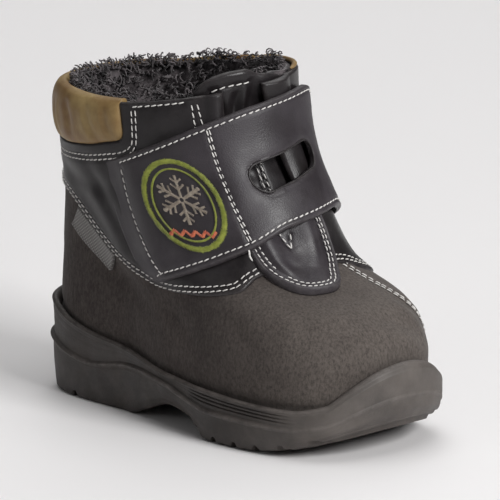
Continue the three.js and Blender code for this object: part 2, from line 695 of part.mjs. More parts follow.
const suede = { color: 0x4a4542, roughness: 0.95, metalness: 0 };
const smoothLeather = { color: 0x2b292d, roughness: 0.45, metalness: 0 };
const oliveLeather = { color: 0x5d5239, roughness: 0.55, metalness: 0 };
const rubber = { color: 0x4b4542, roughness: 0.8, metalness: 0 };
const felt = { color: 0x55534f, roughness: 1, metalness: 0 };
const wovenTape = { color: 0x9a9894, roughness: 0.8, metalness: 0 };

const boot = new THREE.Group();
function addPiece(name, geometry, finish) {
  geometry.computeVertexNormals();
  const mesh = new THREE.Mesh(geometry, new THREE.MeshStandardMaterial(finish));
  mesh.name = name;
  boot.add(mesh);
}
addPiece('sole', soleGeometry(), rubber);
addPiece('insole', insoleGeometry(), felt);
addPiece('upper', upperGeometry(), suede);
addPiece('collar', collarGeometry(), oliveLeather);
addPiece('tongue', tongueGeometry(), smoothLeather);
addPiece('tongue_base', tongueBaseGeometry(), smoothLeather);
addPiece('strap', strapGeometry(), smoothLeather);
addPiece('side_tab', sideTabGeometry(), wovenTape);
addPiece('back_strip', backStripGeometry(), smoothLeather);

// The finished boot's origin is the bottom centre of its own box
const box = new THREE.Box3().setFromObject(boot);
const centre = box.getCenter(new THREE.Vector3());
boot.position.set(-centre.x, -centre.y, -box.min.z);
boot.updateMatrixWorld(true);

export default boot;
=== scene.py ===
import math
import bpy
import numpy as np
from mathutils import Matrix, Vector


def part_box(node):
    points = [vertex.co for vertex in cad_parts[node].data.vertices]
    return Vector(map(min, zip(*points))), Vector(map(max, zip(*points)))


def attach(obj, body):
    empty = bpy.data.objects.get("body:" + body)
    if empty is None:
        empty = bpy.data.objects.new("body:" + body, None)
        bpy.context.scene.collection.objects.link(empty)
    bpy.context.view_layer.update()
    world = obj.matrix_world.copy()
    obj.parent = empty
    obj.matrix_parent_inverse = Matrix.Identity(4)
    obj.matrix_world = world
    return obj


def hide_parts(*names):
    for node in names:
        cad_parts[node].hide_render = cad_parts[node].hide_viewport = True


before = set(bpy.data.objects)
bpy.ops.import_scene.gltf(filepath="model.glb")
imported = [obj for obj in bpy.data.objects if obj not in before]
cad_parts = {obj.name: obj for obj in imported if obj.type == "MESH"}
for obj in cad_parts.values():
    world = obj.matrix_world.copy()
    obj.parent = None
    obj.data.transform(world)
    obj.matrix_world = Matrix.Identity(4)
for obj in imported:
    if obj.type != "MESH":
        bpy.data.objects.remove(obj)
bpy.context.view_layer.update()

# A toddler's winter boot for the right foot, empty, on a pale studio floor.
# Shapes are worked out in millimetres: x from the back of the heel to the toe, y across with the
# outer side at minus, z up from the floor. turn goes once round the boot: 0 at the heel, 0.25 on
# the outer side, 0.5 at the toe and 0.75 on the inner side.
boot = {
    "soleLength": 160.0, "ballWidth": 76.6, "heelWidth": 60.0, "collarHeight": 110.0,
    "heelBumper": 4.0, "toeBumper": 5.5, "rimWall": 3.1, "upperWall": 2.6,
    "quarterThickness": 1.1, "collarEnd": 0.272, "collarCorner": 3.4, "gap": 0.3,
    "shaftRound": 265.0,  # once round the top line
}

# Plan of the sole: along is a share of its length, across of half the ball's width
footPlan = {
    "along": [0.000, 0.035, 0.125, 0.290, 0.480, 0.660, 0.825, 0.925, 0.982,
              1.000, 0.985, 0.942, 0.870, 0.720, 0.500, 0.290, 0.125, 0.035],
    "across": [0.00, -0.64, -0.945, -1.00, -0.935, -1.00, -0.94, -0.745, -0.40,
               0.05, 0.44, 0.71, 0.885, 0.965, 0.865, 0.97, 0.90, 0.60],
}

# Level sections of the last: height is a share of the collar's, back and front of its length,
# half of its half width, and round turns the foot's plan into the shaft's oval
lastSections = {
    "height": [0.091, 0.182, 0.273, 0.327, 0.382, 0.418, 0.445, 0.473,
               0.509, 0.564, 0.636, 0.727, 0.836, 0.945, 1.055, 1.130],
    "back": [0.017, 0.003, 0.000, 0.000, 0.001, 0.003, 0.005, 0.007,
             0.007, 0.007, 0.007, 0.007, 0.003, 0.000, 0.000, 0.000],
    "front": [0.983, 1.000, 1.000, 0.990, 0.967, 0.934, 0.890, 0.831,
              0.781, 0.748, 0.718, 0.678, 0.635, 0.608, 0.595, 0.592],
    "half": [0.952, 0.995, 1.000, 0.995, 0.983, 0.975, 0.966, 0.960,
             0.952, 0.943, 0.938, 0.938, 0.943, 0.955, 0.966, 0.972],
    "round": [0, 0, 0, 0, 0.04, 0.08, 0.14, 0.22, 0.35, 0.55, 0.80, 0.95, 1, 1, 1, 1],
}

# Lines round the boot, heights as shares of the collar's: the quarters' seam on the suede,
# the collar pad's lower edge, and the top line
seamLine = {
    "turn": [0.000, 0.134, 0.160, 0.208, 0.224, 0.244, 0.281, 0.326, 0.352, 0.376, 0.402,
             0.465, 0.530, 0.600, 0.680, 0.750, 0.790, 0.840, 0.870, 1.000],
    "height": [0.709, 0.671, 0.641, 0.511, 0.471, 0.450, 0.457, 0.474, 0.486, 0.505, 0.529,
               0.545, 0.535, 0.495, 0.464, 0.452, 0.500, 0.630, 0.672, 0.709],
}
collarLine = {
    "turn": [0.000, 0.140, 0.213, 0.272, 0.350, 0.500, 0.650, 0.728, 0.787, 0.860, 1.000],
    "height": [0.823, 0.827, 0.847, 0.886, 0.900, 0.909, 0.900, 0.886, 0.847, 0.827, 0.823],
}
topLine = {
    "turn": [0.000, 0.220, 0.273, 0.333, 0.425, 0.500, 0.580, 0.690, 0.770, 0.850, 1.000],
    "height": [1.000, 1.000, 1.009, 1.032, 1.064, 1.080, 1.093, 1.075, 1.042, 1.010, 1.000],
}

lastLength = boot["soleLength"] - boot["heelBumper"] - boot["toeBumper"]
lastHalf = boot["ballWidth"] / 2 - boot["rimWall"]
rng = np.random.default_rng(22)


def mix(a, b, t):
    return a + (b - a) * t


def soft(t):
    t = np.clip(t, 0, 1)
    return t * t * (3 - 2 * t)


def bell(distance, width):
    return np.exp(-(distance / width) ** 2)


# A smooth curve through a table, without overshoot
def smoothCurve(at, value):
    at, value = np.array(at, float), np.array(value, float)
    slope = np.diff(value) / np.diff(at)
    tangent = np.zeros(len(at))
    tangent[0], tangent[-1] = slope[0], slope[-1]
    before, after = slope[:-1], slope[1:]
    climbs = before * after > 0
    tangent[1:-1][climbs] = 2 * before[climbs] * after[climbs] / (before + after)[climbs]

    def evaluate(place):
        x = np.clip(place, at[0], at[-1])
        i = np.clip(np.searchsorted(at, x, side="right") - 1, 0, len(at) - 2)
        span = at[i + 1] - at[i]
        t = (x - at[i]) / span
        bend = t * (1 - t) * span * (tangent[i] * (1 - t) - tangent[i + 1] * t)
        return mix(value[i], value[i + 1], t * t * (3 - 2 * t)) + bend
    return evaluate


sectionCurve = {key: smoothCurve(lastSections["height"], lastSections[key])
                for key in ("back", "front", "half", "round")}


def lineRound(table):
    shape = smoothCurve(table["turn"], table["height"])
    return lambda turn: boot["collarHeight"] * shape(np.mod(turn, 1.0))


seamZ = lineRound(seamLine)
collarZ = lineRound(collarLine)
topZ = lineRound(topLine)


# Four weights of a Catmull-Rom spline
def splineWeights(t):
    return (-0.5 * t + t * t - 0.5 * t ** 3, 1 - 2.5 * t * t + 1.5 * t ** 3,
            0.5 * t + 2 * t * t - 1.5 * t ** 3, -0.5 * t * t + 0.5 * t ** 3)


# More rows between the given ones, on a spline through them
def refineRows(rows, perStep):
    rows = np.array(rows)
    fine = []
    for r in range(len(rows) - 1):
        pick = [min(max(r + k, 0), len(rows) - 1) for k in (-1, 0, 1, 2)]
        for step in range(perStep):
            weights = splineWeights(step / perStep)
            fine.append(sum(w * rows[p] for w, p in zip(weights, pick)))
    return np.array(fine + [rows[-1]])


def footShare(turn):
    count = len(footPlan["along"])
    place = np.mod(turn, 1.0) * count
    i = np.floor(place).astype(int)
    weights = splineWeights(place - i)
    along, across = (sum(w * np.array(footPlan[key])[(i + k - 1) % count]
                         for k, w in enumerate(weights)) for key in ("along", "across"))
    return along, across * mix(boot["heelWidth"] / boot["ballWidth"], 1, soft((along - 0.3) / 0.2))


# The shaft's oval, in the same shares
def ovalShare(turn):
    squareness = 2 / 2.2
    c, s = np.cos(2 * np.pi * turn), np.sin(2 * np.pi * turn)
    return (0.5 - 0.5 * np.sign(c) * np.abs(c) ** squareness,
            -np.sign(s) * np.abs(s) ** squareness)


def lastPoint(turn, z):
    turn, z = np.broadcast_arrays(np.asarray(turn, float), np.asarray(z, float))
    share = z / boot["collarHeight"]
    footAlong, footAcross = footShare(turn)
    ovalAlong, ovalAcross = ovalShare(turn)
    roundness = sectionCurve["round"](share)
    along = mix(footAlong, ovalAlong, roundness)
    x = boot["heelBumper"] + lastLength * mix(
        sectionCurve["back"](share), sectionCurve["front"](share), along)
    y = lastHalf * sectionCurve["half"](share) * mix(footAcross, ovalAcross, roundness)
    return np.stack([x, y, z], -1)


def unit(v):
    return v / np.maximum(np.linalg.norm(v, axis=-1, keepdims=True), 1e-9)


def outward(turn, z):
    acrossTurn = lastPoint(turn + 0.002, z) - lastPoint(turn - 0.002, z)
    upWall = lastPoint(turn, z + 0.5) - lastPoint(turn, z - 0.5)
    return unit(np.cross(acrossTurn, upWall))


# A point of the last moved outwards by stand
def skin(turn, z, stand=0.0):
    return lastPoint(turn, z) + outward(turn, z) * np.asarray(stand, float)[..., None]


# Heights of the sole along its length, rim, ridge and arch as shares of the three sizes
soleForm = {
    "rimHeight": 34.0, "heelFloor": 13.0, "ballFloor": 10.0, "toeSpring": 11.0, "archRise": 7.4,
    "springStart": 0.7, "lugDepth": 2.4, "grooveWidth": 2.2, "spine": 9.0, "slant": 14.0,
    "lugPlaces": [0.09, 0.2, 0.64, 0.7, 0.76, 0.82, 0.88, 0.94],
    "sipePlaces": [0.05, 0.145, 0.245, 0.67, 0.73, 0.79, 0.85, 0.91],
    "sipeWidth": 0.9, "sipeDepth": 0.9, "ridgeStep": 0.9, "bead": 0.45, "columns": 560,
    "acrossCells": 44,
    "along": [0.00, 0.05, 0.15, 0.22, 0.34, 0.40, 0.48, 0.56, 0.59, 0.625, 0.74, 0.86, 0.93,
              0.965, 1.00],
    "rim": [1.00, 0.97, 0.82, 0.75, 0.68, 0.64, 0.59, 0.555, 0.545, 0.54, 0.51, 0.50, 0.56,
            0.72, 0.93],
    "ridge": [0.60, 0.57, 0.46, 0.42, 0.50, 0.51, 0.48, 0.39, 0.36, 0.33, 0.315, 0.31, 0.36,
              0.46, 0.60],
    "arch": [0, 0, 0, 0, 0, 0.42, 1.00, 0.74, 0.38, 0, 0, 0, 0, 0, 0],
}
soleCurve = {key: smoothCurve(soleForm["along"], soleForm[key]) for key in ("rim", "ridge", "arch")}


# Share of the sole's length below a turn of the last
def alongAt(turn):
    return np.clip(lastPoint(turn, soleForm["heelFloor"])[..., 0] / boot["soleLength"], 0, 1)


def springZ(along):
    start = soleForm["springStart"]
    return soleForm["toeSpring"] * np.clip((along - start) / (1 - start), 0, 1) ** 2


def bottomZ(along):
    return springZ(along) + soleForm["archRise"] * soleCurve["arch"](along)


def floorZ(along):
    level = mix(soleForm["heelFloor"], soleForm["ballFloor"], soft((along - 0.2) / 0.4))
    return level + 0.7 * springZ(along)


def rimZ(along):
    return soleForm["rimHeight"] * soleCurve["rim"](along)


def ridgeZ(along):
    return soleForm["rimHeight"] * soleCurve["ridge"](along)


# From the maker's millimetres to the frame's metres: the sole's own box gives the shift
planAlong, planAcross = footShare(np.linspace(0, 1, 2001))
soleLow, soleHigh = (np.array(corner) * 1000 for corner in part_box("sole"))
soleMiddle = (planAcross.min() + planAcross.max()) * boot["ballWidth"] / 4
frameShift = np.array([(soleLow[0] + soleHigh[0] - boot["soleLength"]) / 2,
                       (soleLow[1] + soleHigh[1]) / 2 - soleMiddle, soleLow[2]])


def toFrame(points):
    return (np.asarray(points).reshape(-1, 3) + frameShift) / 1000


# Meshes

def gridFaces(rows, columns, start=0, closeColumns=False, turnOver=False):
    lastColumn = columns if closeColumns else columns - 1
    r, k = np.meshgrid(np.arange(rows - 1), np.arange(lastColumn), indexing="ij")
    k2 = (k + 1) % columns
    quad = np.stack([r * columns + k, r * columns + k2,
                     (r + 1) * columns + k2, (r + 1) * columns + k], -1).reshape(-1, 4)
    return (quad[:, ::-1] if turnOver else quad) + start


def makePiece(name, points, faces, material, replaces=(), slot=None, marks=None):
    mesh = bpy.data.meshes.new(name)
    mesh.from_pydata(toFrame(points).tolist(), [], [list(face) for face in faces])
    mesh.update()
    mesh.polygons.foreach_set("use_smooth", [True] * len(mesh.polygons))
    for key, values in (marks or {}).items():
        attribute = mesh.attributes.new(key, "FLOAT", "POINT")
        attribute.data.foreach_set("value", np.asarray(values, np.float32).ravel())
    mesh.materials.append(material)
    piece = bpy.data.objects.new(name, mesh)
    bpy.context.scene.collection.objects.link(piece)
    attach(piece, "root")
    if replaces:
        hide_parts(*replaces)
    return piece


# A closed sheet from an outer and an inner grid, its edges joined
def sheetFaces(rows, columns, closed):
    count = rows * columns
    faces = [gridFaces(rows, columns, 0, closed), gridFaces(rows, columns, count, closed, True)]
    k = np.arange(columns if closed else columns - 1)
    k2 = (k + 1) % columns
    top = (rows - 1) * columns
    faces.append(np.stack([k2, k, k + count, k2 + count], -1))
    faces.append(np.stack([top + k, top + k2, top + k2 + count, top + k + count], -1))
    if not closed:
        r = np.arange(rows - 1) * columns
        end = columns - 1
        faces.append(np.stack([r, r + columns, r + columns + count, r + count], -1))
        faces.append(np.stack([r + columns + end, r + end, r + end + count,
                               r + columns + end + count], -1))
    return np.concatenate(faces)


def makeSheet(name, turn, z, outer, inner, material, closed=False, marks=None, **how):
    outerPoints = skin(turn, z, outer)
    innerPoints = skin(turn, z, inner)
    rows, columns = turn.shape
    both = {key: np.concatenate([value.ravel(), value.ravel()]) for key, value in (marks or {}).items()}
    points = np.concatenate([outerPoints.reshape(-1, 3), innerPoints.reshape(-1, 3)])
    return makePiece(name, points, sheetFaces(rows, columns, closed), material, marks=both, **how)


# Shares from 0 to 1 with close rows at each end, where the edge is rounded
def edgedShares(count, width, edge):
    close = np.array([0, 0.08, 0.22, 0.42, 0.7, 1.0]) * edge / width
    middle = np.linspace(close[-1], 1 - close[-1], count)
    return np.concatenate([close[:-1], middle, 1 - close[:-1][::-1]])


def roundEdge(distance, radius):
    return np.sqrt(np.clip(1 - (1 - np.clip(distance / radius, 0, 1)) ** 2, 0, 1))


# Length along a line of points, from nought at its first
def lengthAlong(points):
    return np.concatenate([[0], np.cumsum(np.linalg.norm(np.diff(points, axis=0), axis=1))])


# Points spread on a line at the given lengths
def pointsAt(place, at, points):
    return np.stack([np.interp(place, at, points[:, k]) for k in range(points.shape[1])], -1)


# A path of (turn, z) rows, smoothed, as points of the last and their outward directions
def surfacePath(rows, count=60, stand=0.0):
    rows = np.array(rows, float)
    at = lengthAlong(skin(rows[:, 0], rows[:, 1]))
    place = np.linspace(0, at[-1], count)
    turn, z = smoothCurve(at, rows[:, 0])(place), smoothCurve(at, rows[:, 1])(place)
    return skin(turn, z, stand), outward(turn, z)


# The same path moved sideways in the surface
def besidePath(path, shift):
    points, normals = path
    side = np.cross(normals, unit(np.gradient(points, axis=0)))
    return points + unit(side) * shift, normals


# Paths lifted off the last by level
def raised(paths, level):
    return [(points + normals * level, normals) for points, normals in paths]


# Distance of each point to a path, and the share of the path where it is nearest
def nearPath(points, path):
    flat = points.reshape(-1, 3)
    best = np.full(len(flat), 1e9)
    share = np.zeros(len(flat))
    count = len(path) - 1
    for i in range(count):
        step = path[i + 1] - path[i]
        t = np.clip((flat - path[i]) @ step / max(step @ step, 1e-9), 0, 1)
        distance = np.linalg.norm(flat - path[i] - t[:, None] * step, axis=1)
        closer = distance < best
        best = np.where(closer, distance, best)
        share = np.where(closer, (i + t) / count, share)
    return best.reshape(points.shape[:-1]), share.reshape(points.shape[:-1])


# Soft troughs and ridges: each fold has its path, its width and its depth, minus for a ridge
def foldRelief(points, folds):
    relief = np.zeros(points.shape[:-1])
    for fold in folds:
        distance, share = nearPath(points, surfacePath(fold["path"], 24)[0])
        fade = np.sin(np.pi * np.clip(share, 0.02, 0.98)) ** 0.6
        trough = bell(distance, fold["width"])
        banks = bell(distance - 1.9 * fold["width"], fold["width"])
        relief -= fold["depth"] * fade * (trough - 0.35 * banks)
    return relief


# The thread pulls the leather down along each row of stitches
def stitchRelief(points, paths, depth=0.32, width=0.75):
    relief = np.zeros(points.shape[:-1])
    for path in paths:
        distance = nearPath(points, path[0])[0]
        relief = np.minimum(relief, -depth * bell(distance, width))
    return relief


# Slow waves of a hand-made surface, from a few fixed sines
def handWaves(points, size, height, seed):
    local = np.random.default_rng(seed)
    total = np.zeros(points.shape[:-1])
    for _ in range(7):
        way = unit(local.normal(size=3)) * 2 * np.pi / (size * local.uniform(0.7, 1.5))
        total += np.sin(points @ way + local.uniform(0, 2 * np.pi))
    return height * total / 7


# Tubes: rings of points round each path, all paths of one length
def tubeMesh(paths, normals, radius, sides=6, flat=1.0, taper=True):
    count, length = paths.shape[:2]
    tangent = unit(np.gradient(paths, axis=1))
    side = unit(np.cross(normals, tangent))
    lift = np.cross(tangent, side)
    angle = np.linspace(0, 2 * np.pi, sides, endpoint=False)
    share = np.linspace(0, 1, length)
    width = radius * (np.sqrt(np.clip(1 - (2 * share - 1) ** 6, 0.06, 1)) if taper
                      else np.ones(length))
    ring = (side[:, :, None] * np.cos(angle)[:, None] + lift[:, :, None] * flat
            * np.sin(angle)[:, None]) * width[:, None, None]
    points = (paths[:, :, None] + ring).reshape(-1, 3)
    one = gridFaces(length, sides, 0, True)
    faces = (one[None] + (np.arange(count) * length * sides)[:, None, None]).reshape(-1, 4)
    starts = np.arange(count) * length * sides
    fan = np.arange(sides)
    first = [list(start + fan[::-1]) for start in starts]
    last = [list(start + (length - 1) * sides + fan) for start in starts]
    return points, [list(face) for face in faces] + first + last


stitchForm = {"pitch": 2.5, "length": 1.95, "radius": 0.245, "flat": 0.85, "sink": 0.2}


# One row of stitches along a path: short bowed threads with their ends pulled in
def stitchRow(path, pitch):
    points, normals = path
    at = lengthAlong(points)
    count = max(1, int(at[-1] / pitch))
    pitch = at[-1] / count
    starts = (np.arange(count) + 0.5) * pitch
    starts = starts + rng.normal(0, 0.05 * pitch, count)
    share = np.linspace(-0.5, 0.5, 7)
    length = stitchForm["length"] * pitch / stitchForm["pitch"]
    place = np.clip(starts[:, None] + share * length, 0, at[-1])
    centre = pointsAt(place, at, points)
    up = unit(pointsAt(place, at, normals))
    bow = stitchForm["sink"] * (1 - (2 * share) ** 4) + 0.02
    slant = np.cross(up, unit(np.gradient(centre, axis=1))) * (share * 0.25)[None, :, None]
    return centre + up * bow[None, :, None] + slant, up


def makeStitches(name, paths, pitch=stitchForm["pitch"]):
    centre, up = (np.concatenate(part) for part in zip(*[stitchRow(path, pitch) for path in paths]))
    points, faces = tubeMesh(centre, up, stitchForm["radius"], 6, stitchForm["flat"])
    makePiece(name, points, faces, materials["thread"], slot="thread")


# Shader helpers

def addNode(tree, kind, inputs=None, **settings):
    node = tree.nodes.new(kind)
    for key, value in settings.items():
        setattr(node, key, value)
    for key, value in (inputs or {}).items():
        if isinstance(value, bpy.types.NodeSocket):
            tree.links.new(value, node.inputs[key])
        else:
            node.inputs[key].default_value = value
    return node


def newGroup(name, inputs, outputs):
    group = bpy.data.node_groups.new(name, "ShaderNodeTree")
    kinds = {"value": "NodeSocketFloat", "colour": "NodeSocketColor", "vector": "NodeSocketVector"}
    for label, (kind, value) in inputs.items():
        socket = group.interface.new_socket(label, in_out="INPUT", socket_type=kinds[kind])
        socket.default_value = value
    for label, kind in outputs.items():
        group.interface.new_socket(label, in_out="OUTPUT", socket_type=kinds[kind])
    start = addNode(group, "NodeGroupInput")
    end = addNode(group, "NodeGroupOutput")
    return group, start.outputs, end.inputs


def rgba(colour):
    return (*colour, 1.0)


def math2(tree, operation, a, b=0.0, clamp=False):
    return addNode(tree, "ShaderNodeMath", {0: a, 1: b}, operation=operation,
                   use_clamp=clamp).outputs[0]


def noise(tree, place, scale, detail=3.0, rough=0.55):
    return addNode(tree, "ShaderNodeTexNoise", {
        "Vector": place, "Scale": scale, "Detail": detail, "Roughness": rough}).outputs["Fac"]


def objectPlace(tree):
    return addNode(tree, "ShaderNodeTexCoord").outputs["Object"]


def stretched(tree, scale):
    return addNode(tree, "ShaderNodeMapping", {
        "Vector": objectPlace(tree), "Scale": scale}).outputs[0]


def remap(tree, value, low, high, toLow=0.0, toHigh=1.0):
    return addNode(tree, "ShaderNodeMapRange", {
        "Value": value, "From Min": low, "From Max": high, "To Min": toLow,
        "To Max": toHigh}).outputs[0]


def mixColour(tree, share, a, b):
    return addNode(tree, "ShaderNodeMix", {0: share, 6: a, 7: b}, data_type="RGBA").outputs[2]


# Cloudy change between two colours, for every finish
def buildClouds():
    group, given, out = newGroup("softClouds", {
        "Colour": ("colour", rgba((0.05, 0.05, 0.05))), "Light": ("colour", rgba((0.1, 0.1, 0.1))),
        "Scale": ("value", 60.0), "Amount": ("value", 0.5)}, {"Colour": "colour", "Mask": "value"})
    place = objectPlace(group)
    wide = noise(group, place, given["Scale"], 4.0)
    mask = remap(group, wide, 0.38, 0.68)
    share = math2(group, "MULTIPLY", mask, given["Amount"], True)
    group.links.new(mixColour(group, share, given["Colour"], given["Light"]), out["Colour"])
    group.links.new(mask, out["Mask"])
    return group


# Pebbled leather: cells with fine pores
def buildGrain():
    group, given, out = newGroup("leatherGrain", {"Scale": ("value", 900.0)}, {"Height": "value"})
    place = objectPlace(group)
    bent = addNode(group, "ShaderNodeTexNoise", {"Vector": place, "Scale": 300.0})
    shiftBy = addNode(group, "ShaderNodeVectorMath", {0: bent.outputs["Color"], "Scale": 0.0006},
                      operation="SCALE")
    moved = addNode(group, "ShaderNodeVectorMath", {0: place, 1: shiftBy.outputs[0]},
                    operation="ADD")
    cells = addNode(group, "ShaderNodeTexVoronoi", {
        "Vector": moved.outputs[0], "Scale": given["Scale"]}, feature="DISTANCE_TO_EDGE")
    pebble = remap(group, cells.outputs["Distance"], 0.0, 0.22)
    fine = noise(group, place, 2600.0, 2.0)
    total = addNode(group, "ShaderNodeMath", {
        0: pebble, 1: 0.75, 2: math2(group, "MULTIPLY", fine, 0.25)}, operation="MULTIPLY_ADD")
    group.links.new(total.outputs[0], out["Height"])
    return group


# Suede nap: short streaks that run down the side, and a fine fuzz
def buildNap():
    group, given, out = newGroup("suedeNap", {"Scale": ("value", 420.0)},
                                 {"Height": "value", "Streak": "value", "Fuzz": "value"})
    streakPlace = stretched(group, (1.0, 1.0, 0.28))
    streak = noise(group, streakPlace, given["Scale"], 3.0, 0.65)
    fuzz = noise(group, stretched(group, (1, 1, 0.6)), 1150.0, 3.0, 0.75)
    height = math2(group, "ADD", math2(group, "MULTIPLY", streak, 0.7),
                   math2(group, "MULTIPLY", fuzz, 0.45))
    group.links.new(height, out["Height"])
    group.links.new(remap(group, streak, 0.42, 0.66), out["Streak"])
    group.links.new(remap(group, fuzz, 0.4, 0.7), out["Fuzz"])
    return group


# Light dust: more of it low down and in patches
def buildDust():
    group, given, out = newGroup("dryDust", {
        "Top": ("value", 0.03), "Amount": ("value", 0.5)}, {"Mask": "value"})
    place = objectPlace(group)
    height = addNode(group, "ShaderNodeSeparateXYZ", {0: place}).outputs["Z"]
    low = remap(group, height, 0.0, given["Top"], 1.0, 0.0)
    patches = remap(group, noise(group, place, 150.0, 5.0, 0.7), 0.42, 0.75)
    both = math2(group, "MULTIPLY", low, patches)
    group.links.new(math2(group, "MULTIPLY", both, given["Amount"], True), out["Mask"])
    return group


# Rubbed edges, from the mesh's own edge mark broken up by noise; on the sole's ridge bead and rim lip and
# round the strap's slot the mark is also a painted highlight
def buildWearAndHighlights():
    group, given, out = newGroup("rubbedEdgesAndPaintedHighlights", {"Amount": ("value", 0.5)}, {"Mask": "value"})
    edge = addNode(group, "ShaderNodeAttribute", attribute_name="edge").outputs["Fac"]
    place = objectPlace(group)
    broken = remap(group, noise(group, place, 320.0, 4.0, 0.7), 0.35, 0.7)
    rubbedAndHighlit = math2(group, "MULTIPLY", edge, broken)
    group.links.new(math2(group, "MULTIPLY", rubbedAndHighlit, given["Amount"], True), out["Mask"])
    return group


# Woven ribs of the tape: warp across weft
def buildWeave():
    group, given, out = newGroup("wovenRibs", {
        "Scale": ("value", 500.0), "Tilt": ("value", 0.0)}, {"Height": "value", "Mask": "value"})
    place = objectPlace(group)
    turned = addNode(group, "ShaderNodeVectorRotate", {
        "Vector": place, "Axis": (0.0, 1.0, 0.0), "Angle": given["Tilt"]}).outputs[0]
    warp, weft = (addNode(group, "ShaderNodeTexWave", {
        "Vector": turned, "Scale": given["Scale"], "Distortion": 0.6, "Detail": 1.0},
        bands_direction=way).outputs["Fac"] for way in ("X", "Z"))
    crossing = math2(group, "MULTIPLY", warp, weft)
    group.links.new(crossing, out["Height"])
    group.links.new(remap(group, crossing, 0.1, 0.6), out["Mask"])
    return group


groups = {"clouds": buildClouds(), "grain": buildGrain(), "nap": buildNap(),
          "dust": buildDust(), "wear": buildWearAndHighlights(), "weave": buildWeave()}


def placeGroup(tree, key, inputs):
    return addNode(tree, "ShaderNodeGroup", inputs, node_tree=groups[key]).outputs


def newMaterial(name):
    material = bpy.data.materials.new(name)
    material.use_nodes = True
    tree = material.node_tree
    tree.nodes.clear()
    end = addNode(tree, "ShaderNodeOutputMaterial")
    shader = addNode(tree, "ShaderNodeBsdfPrincipled")
    tree.links.new(shader.outputs[0], end.inputs["Surface"])
    return material, tree, shader


def bumpInto(tree, shader, height, distance, strength=1.0):
    bump = addNode(tree, "ShaderNodeBump", {
        "Height": height, "Distance": distance, "Strength": strength})
    tree.links.new(bump.outputs[0], shader.inputs["Normal"])


# Share of the toe's paler colour, in patches, growing from toeStart to toeEnd along x in metres
def toeShare(tree, look):
    place = objectPlace(tree)
    along = addNode(tree, "ShaderNodeSeparateXYZ", {0: place}).outputs["X"]
    toe = remap(tree, along, look["toeStart"], look["toeEnd"])
    patches = noise(tree, place, look["patchScale"], 4.0)
    return math2(tree, "MULTIPLY", toe, remap(tree, patches, 0.3, 0.7, look["patchLeast"], 1.0))


leatherLooks = {
    "smoothLeather": {"colour": (0.010, 0.008, 0.0085), "light": (0.020, 0.017, 0.019),
                      "roughness": 0.36, "spread": 0.12, "grain": 1150.0, "depth": 0.00002,
                      "wornAndHighlight": (0.08, 0.07, 0.07), "wear": 0.5, "shine": 0.3},
    # the smooth leather made lighter for the strap and apron: painted light where they face the lamp
    "strapLeatherPaintedLight": {"colour": (0.019, 0.015, 0.018), "light": (0.034, 0.028, 0.034),
                     "roughness": 0.47, "spread": 0.12, "grain": 1150.0, "depth": 0.00003,
                     "wornAndHighlight": (0.10, 0.09, 0.09), "wear": 0.5, "shine": 0.45},
    "oliveLeather": {"colour": (0.160, 0.085, 0.028), "light": (0.340, 0.248, 0.108),
                     "roughness": 0.46, "spread": 0.10, "grain": 950.0, "depth": 0.00003,
                     "wornAndHighlight": (0.30, 0.23, 0.13), "wear": 0.4, "shine": 0.3},
}


def leatherMaterial(name):
    look = leatherLooks[name]
    material, tree, shader = newMaterial(name)
    clouds = placeGroup(tree, "clouds", {
        "Colour": rgba(look["colour"]), "Light": rgba(look["light"]), "Scale": 70.0, "Amount": 0.8})
    wear = placeGroup(tree, "wear", {"Amount": look["wear"]})
    dust = placeGroup(tree, "dust", {"Top": 0.14, "Amount": 0.08})
    rubbedAndHighlit = mixColour(tree, wear["Mask"], clouds["Colour"], rgba(look["wornAndHighlight"]))
    dusty = mixColour(tree, dust["Mask"], rubbedAndHighlit, rgba((0.32, 0.30, 0.28)))
    tree.links.new(dusty, shader.inputs["Base Color"])
    rough = remap(tree, clouds["Mask"], 0.0, 1.0, look["roughness"] - look["spread"] / 2,
                  look["roughness"] + look["spread"])
    tree.links.new(rough, shader.inputs["Roughness"])
    shader.inputs["Specular IOR Level"].default_value = look["shine"]
    grain = placeGroup(tree, "grain", {"Scale": look["grain"]})
    bumpInto(tree, shader, grain["Height"], look["depth"])
    return material


suedeLook = {"colour": (0.046, 0.037, 0.034), "light": (0.074, 0.061, 0.055),
             "toe": (0.110, 0.094, 0.083), "streak": (0.112, 0.097, 0.088),
             "pit": (0.016, 0.013, 0.012), "wornAndHighlight": (0.2, 0.18, 0.165), "napScale": 900.0,
             "toeStart": 0.015, "toeEnd": 0.060, "patchScale": 60.0, "patchLeast": 0.45}


def suedeMaterial():
    material, tree, shader = newMaterial("suede")
    clouds = placeGroup(tree, "clouds", {
        "Colour": rgba(suedeLook["colour"]), "Light": rgba(suedeLook["light"]),
        "Scale": 48.0, "Amount": 0.75})
    nap = placeGroup(tree, "nap", {"Scale": suedeLook["napScale"]})
    toeColour = mixColour(tree, toeShare(tree, suedeLook), clouds["Colour"], rgba(suedeLook["toe"]))
    streaked = mixColour(tree, math2(tree, "MULTIPLY", nap["Streak"], 0.32), toeColour,
                         rgba(suedeLook["streak"]))
    fuzzy = mixColour(tree, math2(tree, "MULTIPLY", nap["Fuzz"], 0.65), streaked,
                      rgba(suedeLook["pit"]))
    wear = placeGroup(tree, "wear", {"Amount": 0.35})
    rubbedAndHighlit = mixColour(tree, wear["Mask"], fuzzy, rgba(suedeLook["wornAndHighlight"]))
    tree.links.new(rubbedAndHighlit, shader.inputs["Base Color"])
    shader.inputs["Roughness"].default_value = 0.93
    shader.inputs["Sheen Weight"].default_value = 0.12
    shader.inputs["Sheen Roughness"].default_value = 0.4
    shader.inputs["Specular IOR Level"].default_value = 0.25
    bumpInto(tree, shader, nap["Height"], 0.0003, 0.8)
    return material


rubberLook = {"colour": (0.023, 0.018, 0.016), "light": (0.036, 0.029, 0.025),
              "toe": (0.115, 0.100, 0.090), "dust": (0.15, 0.130, 0.117), "wornAndHighlight": (0.16, 0.14, 0.13),
              "toeStart": 0.030, "toeEnd": 0.078, "patchScale": 70.0, "patchLeast": 0.3}


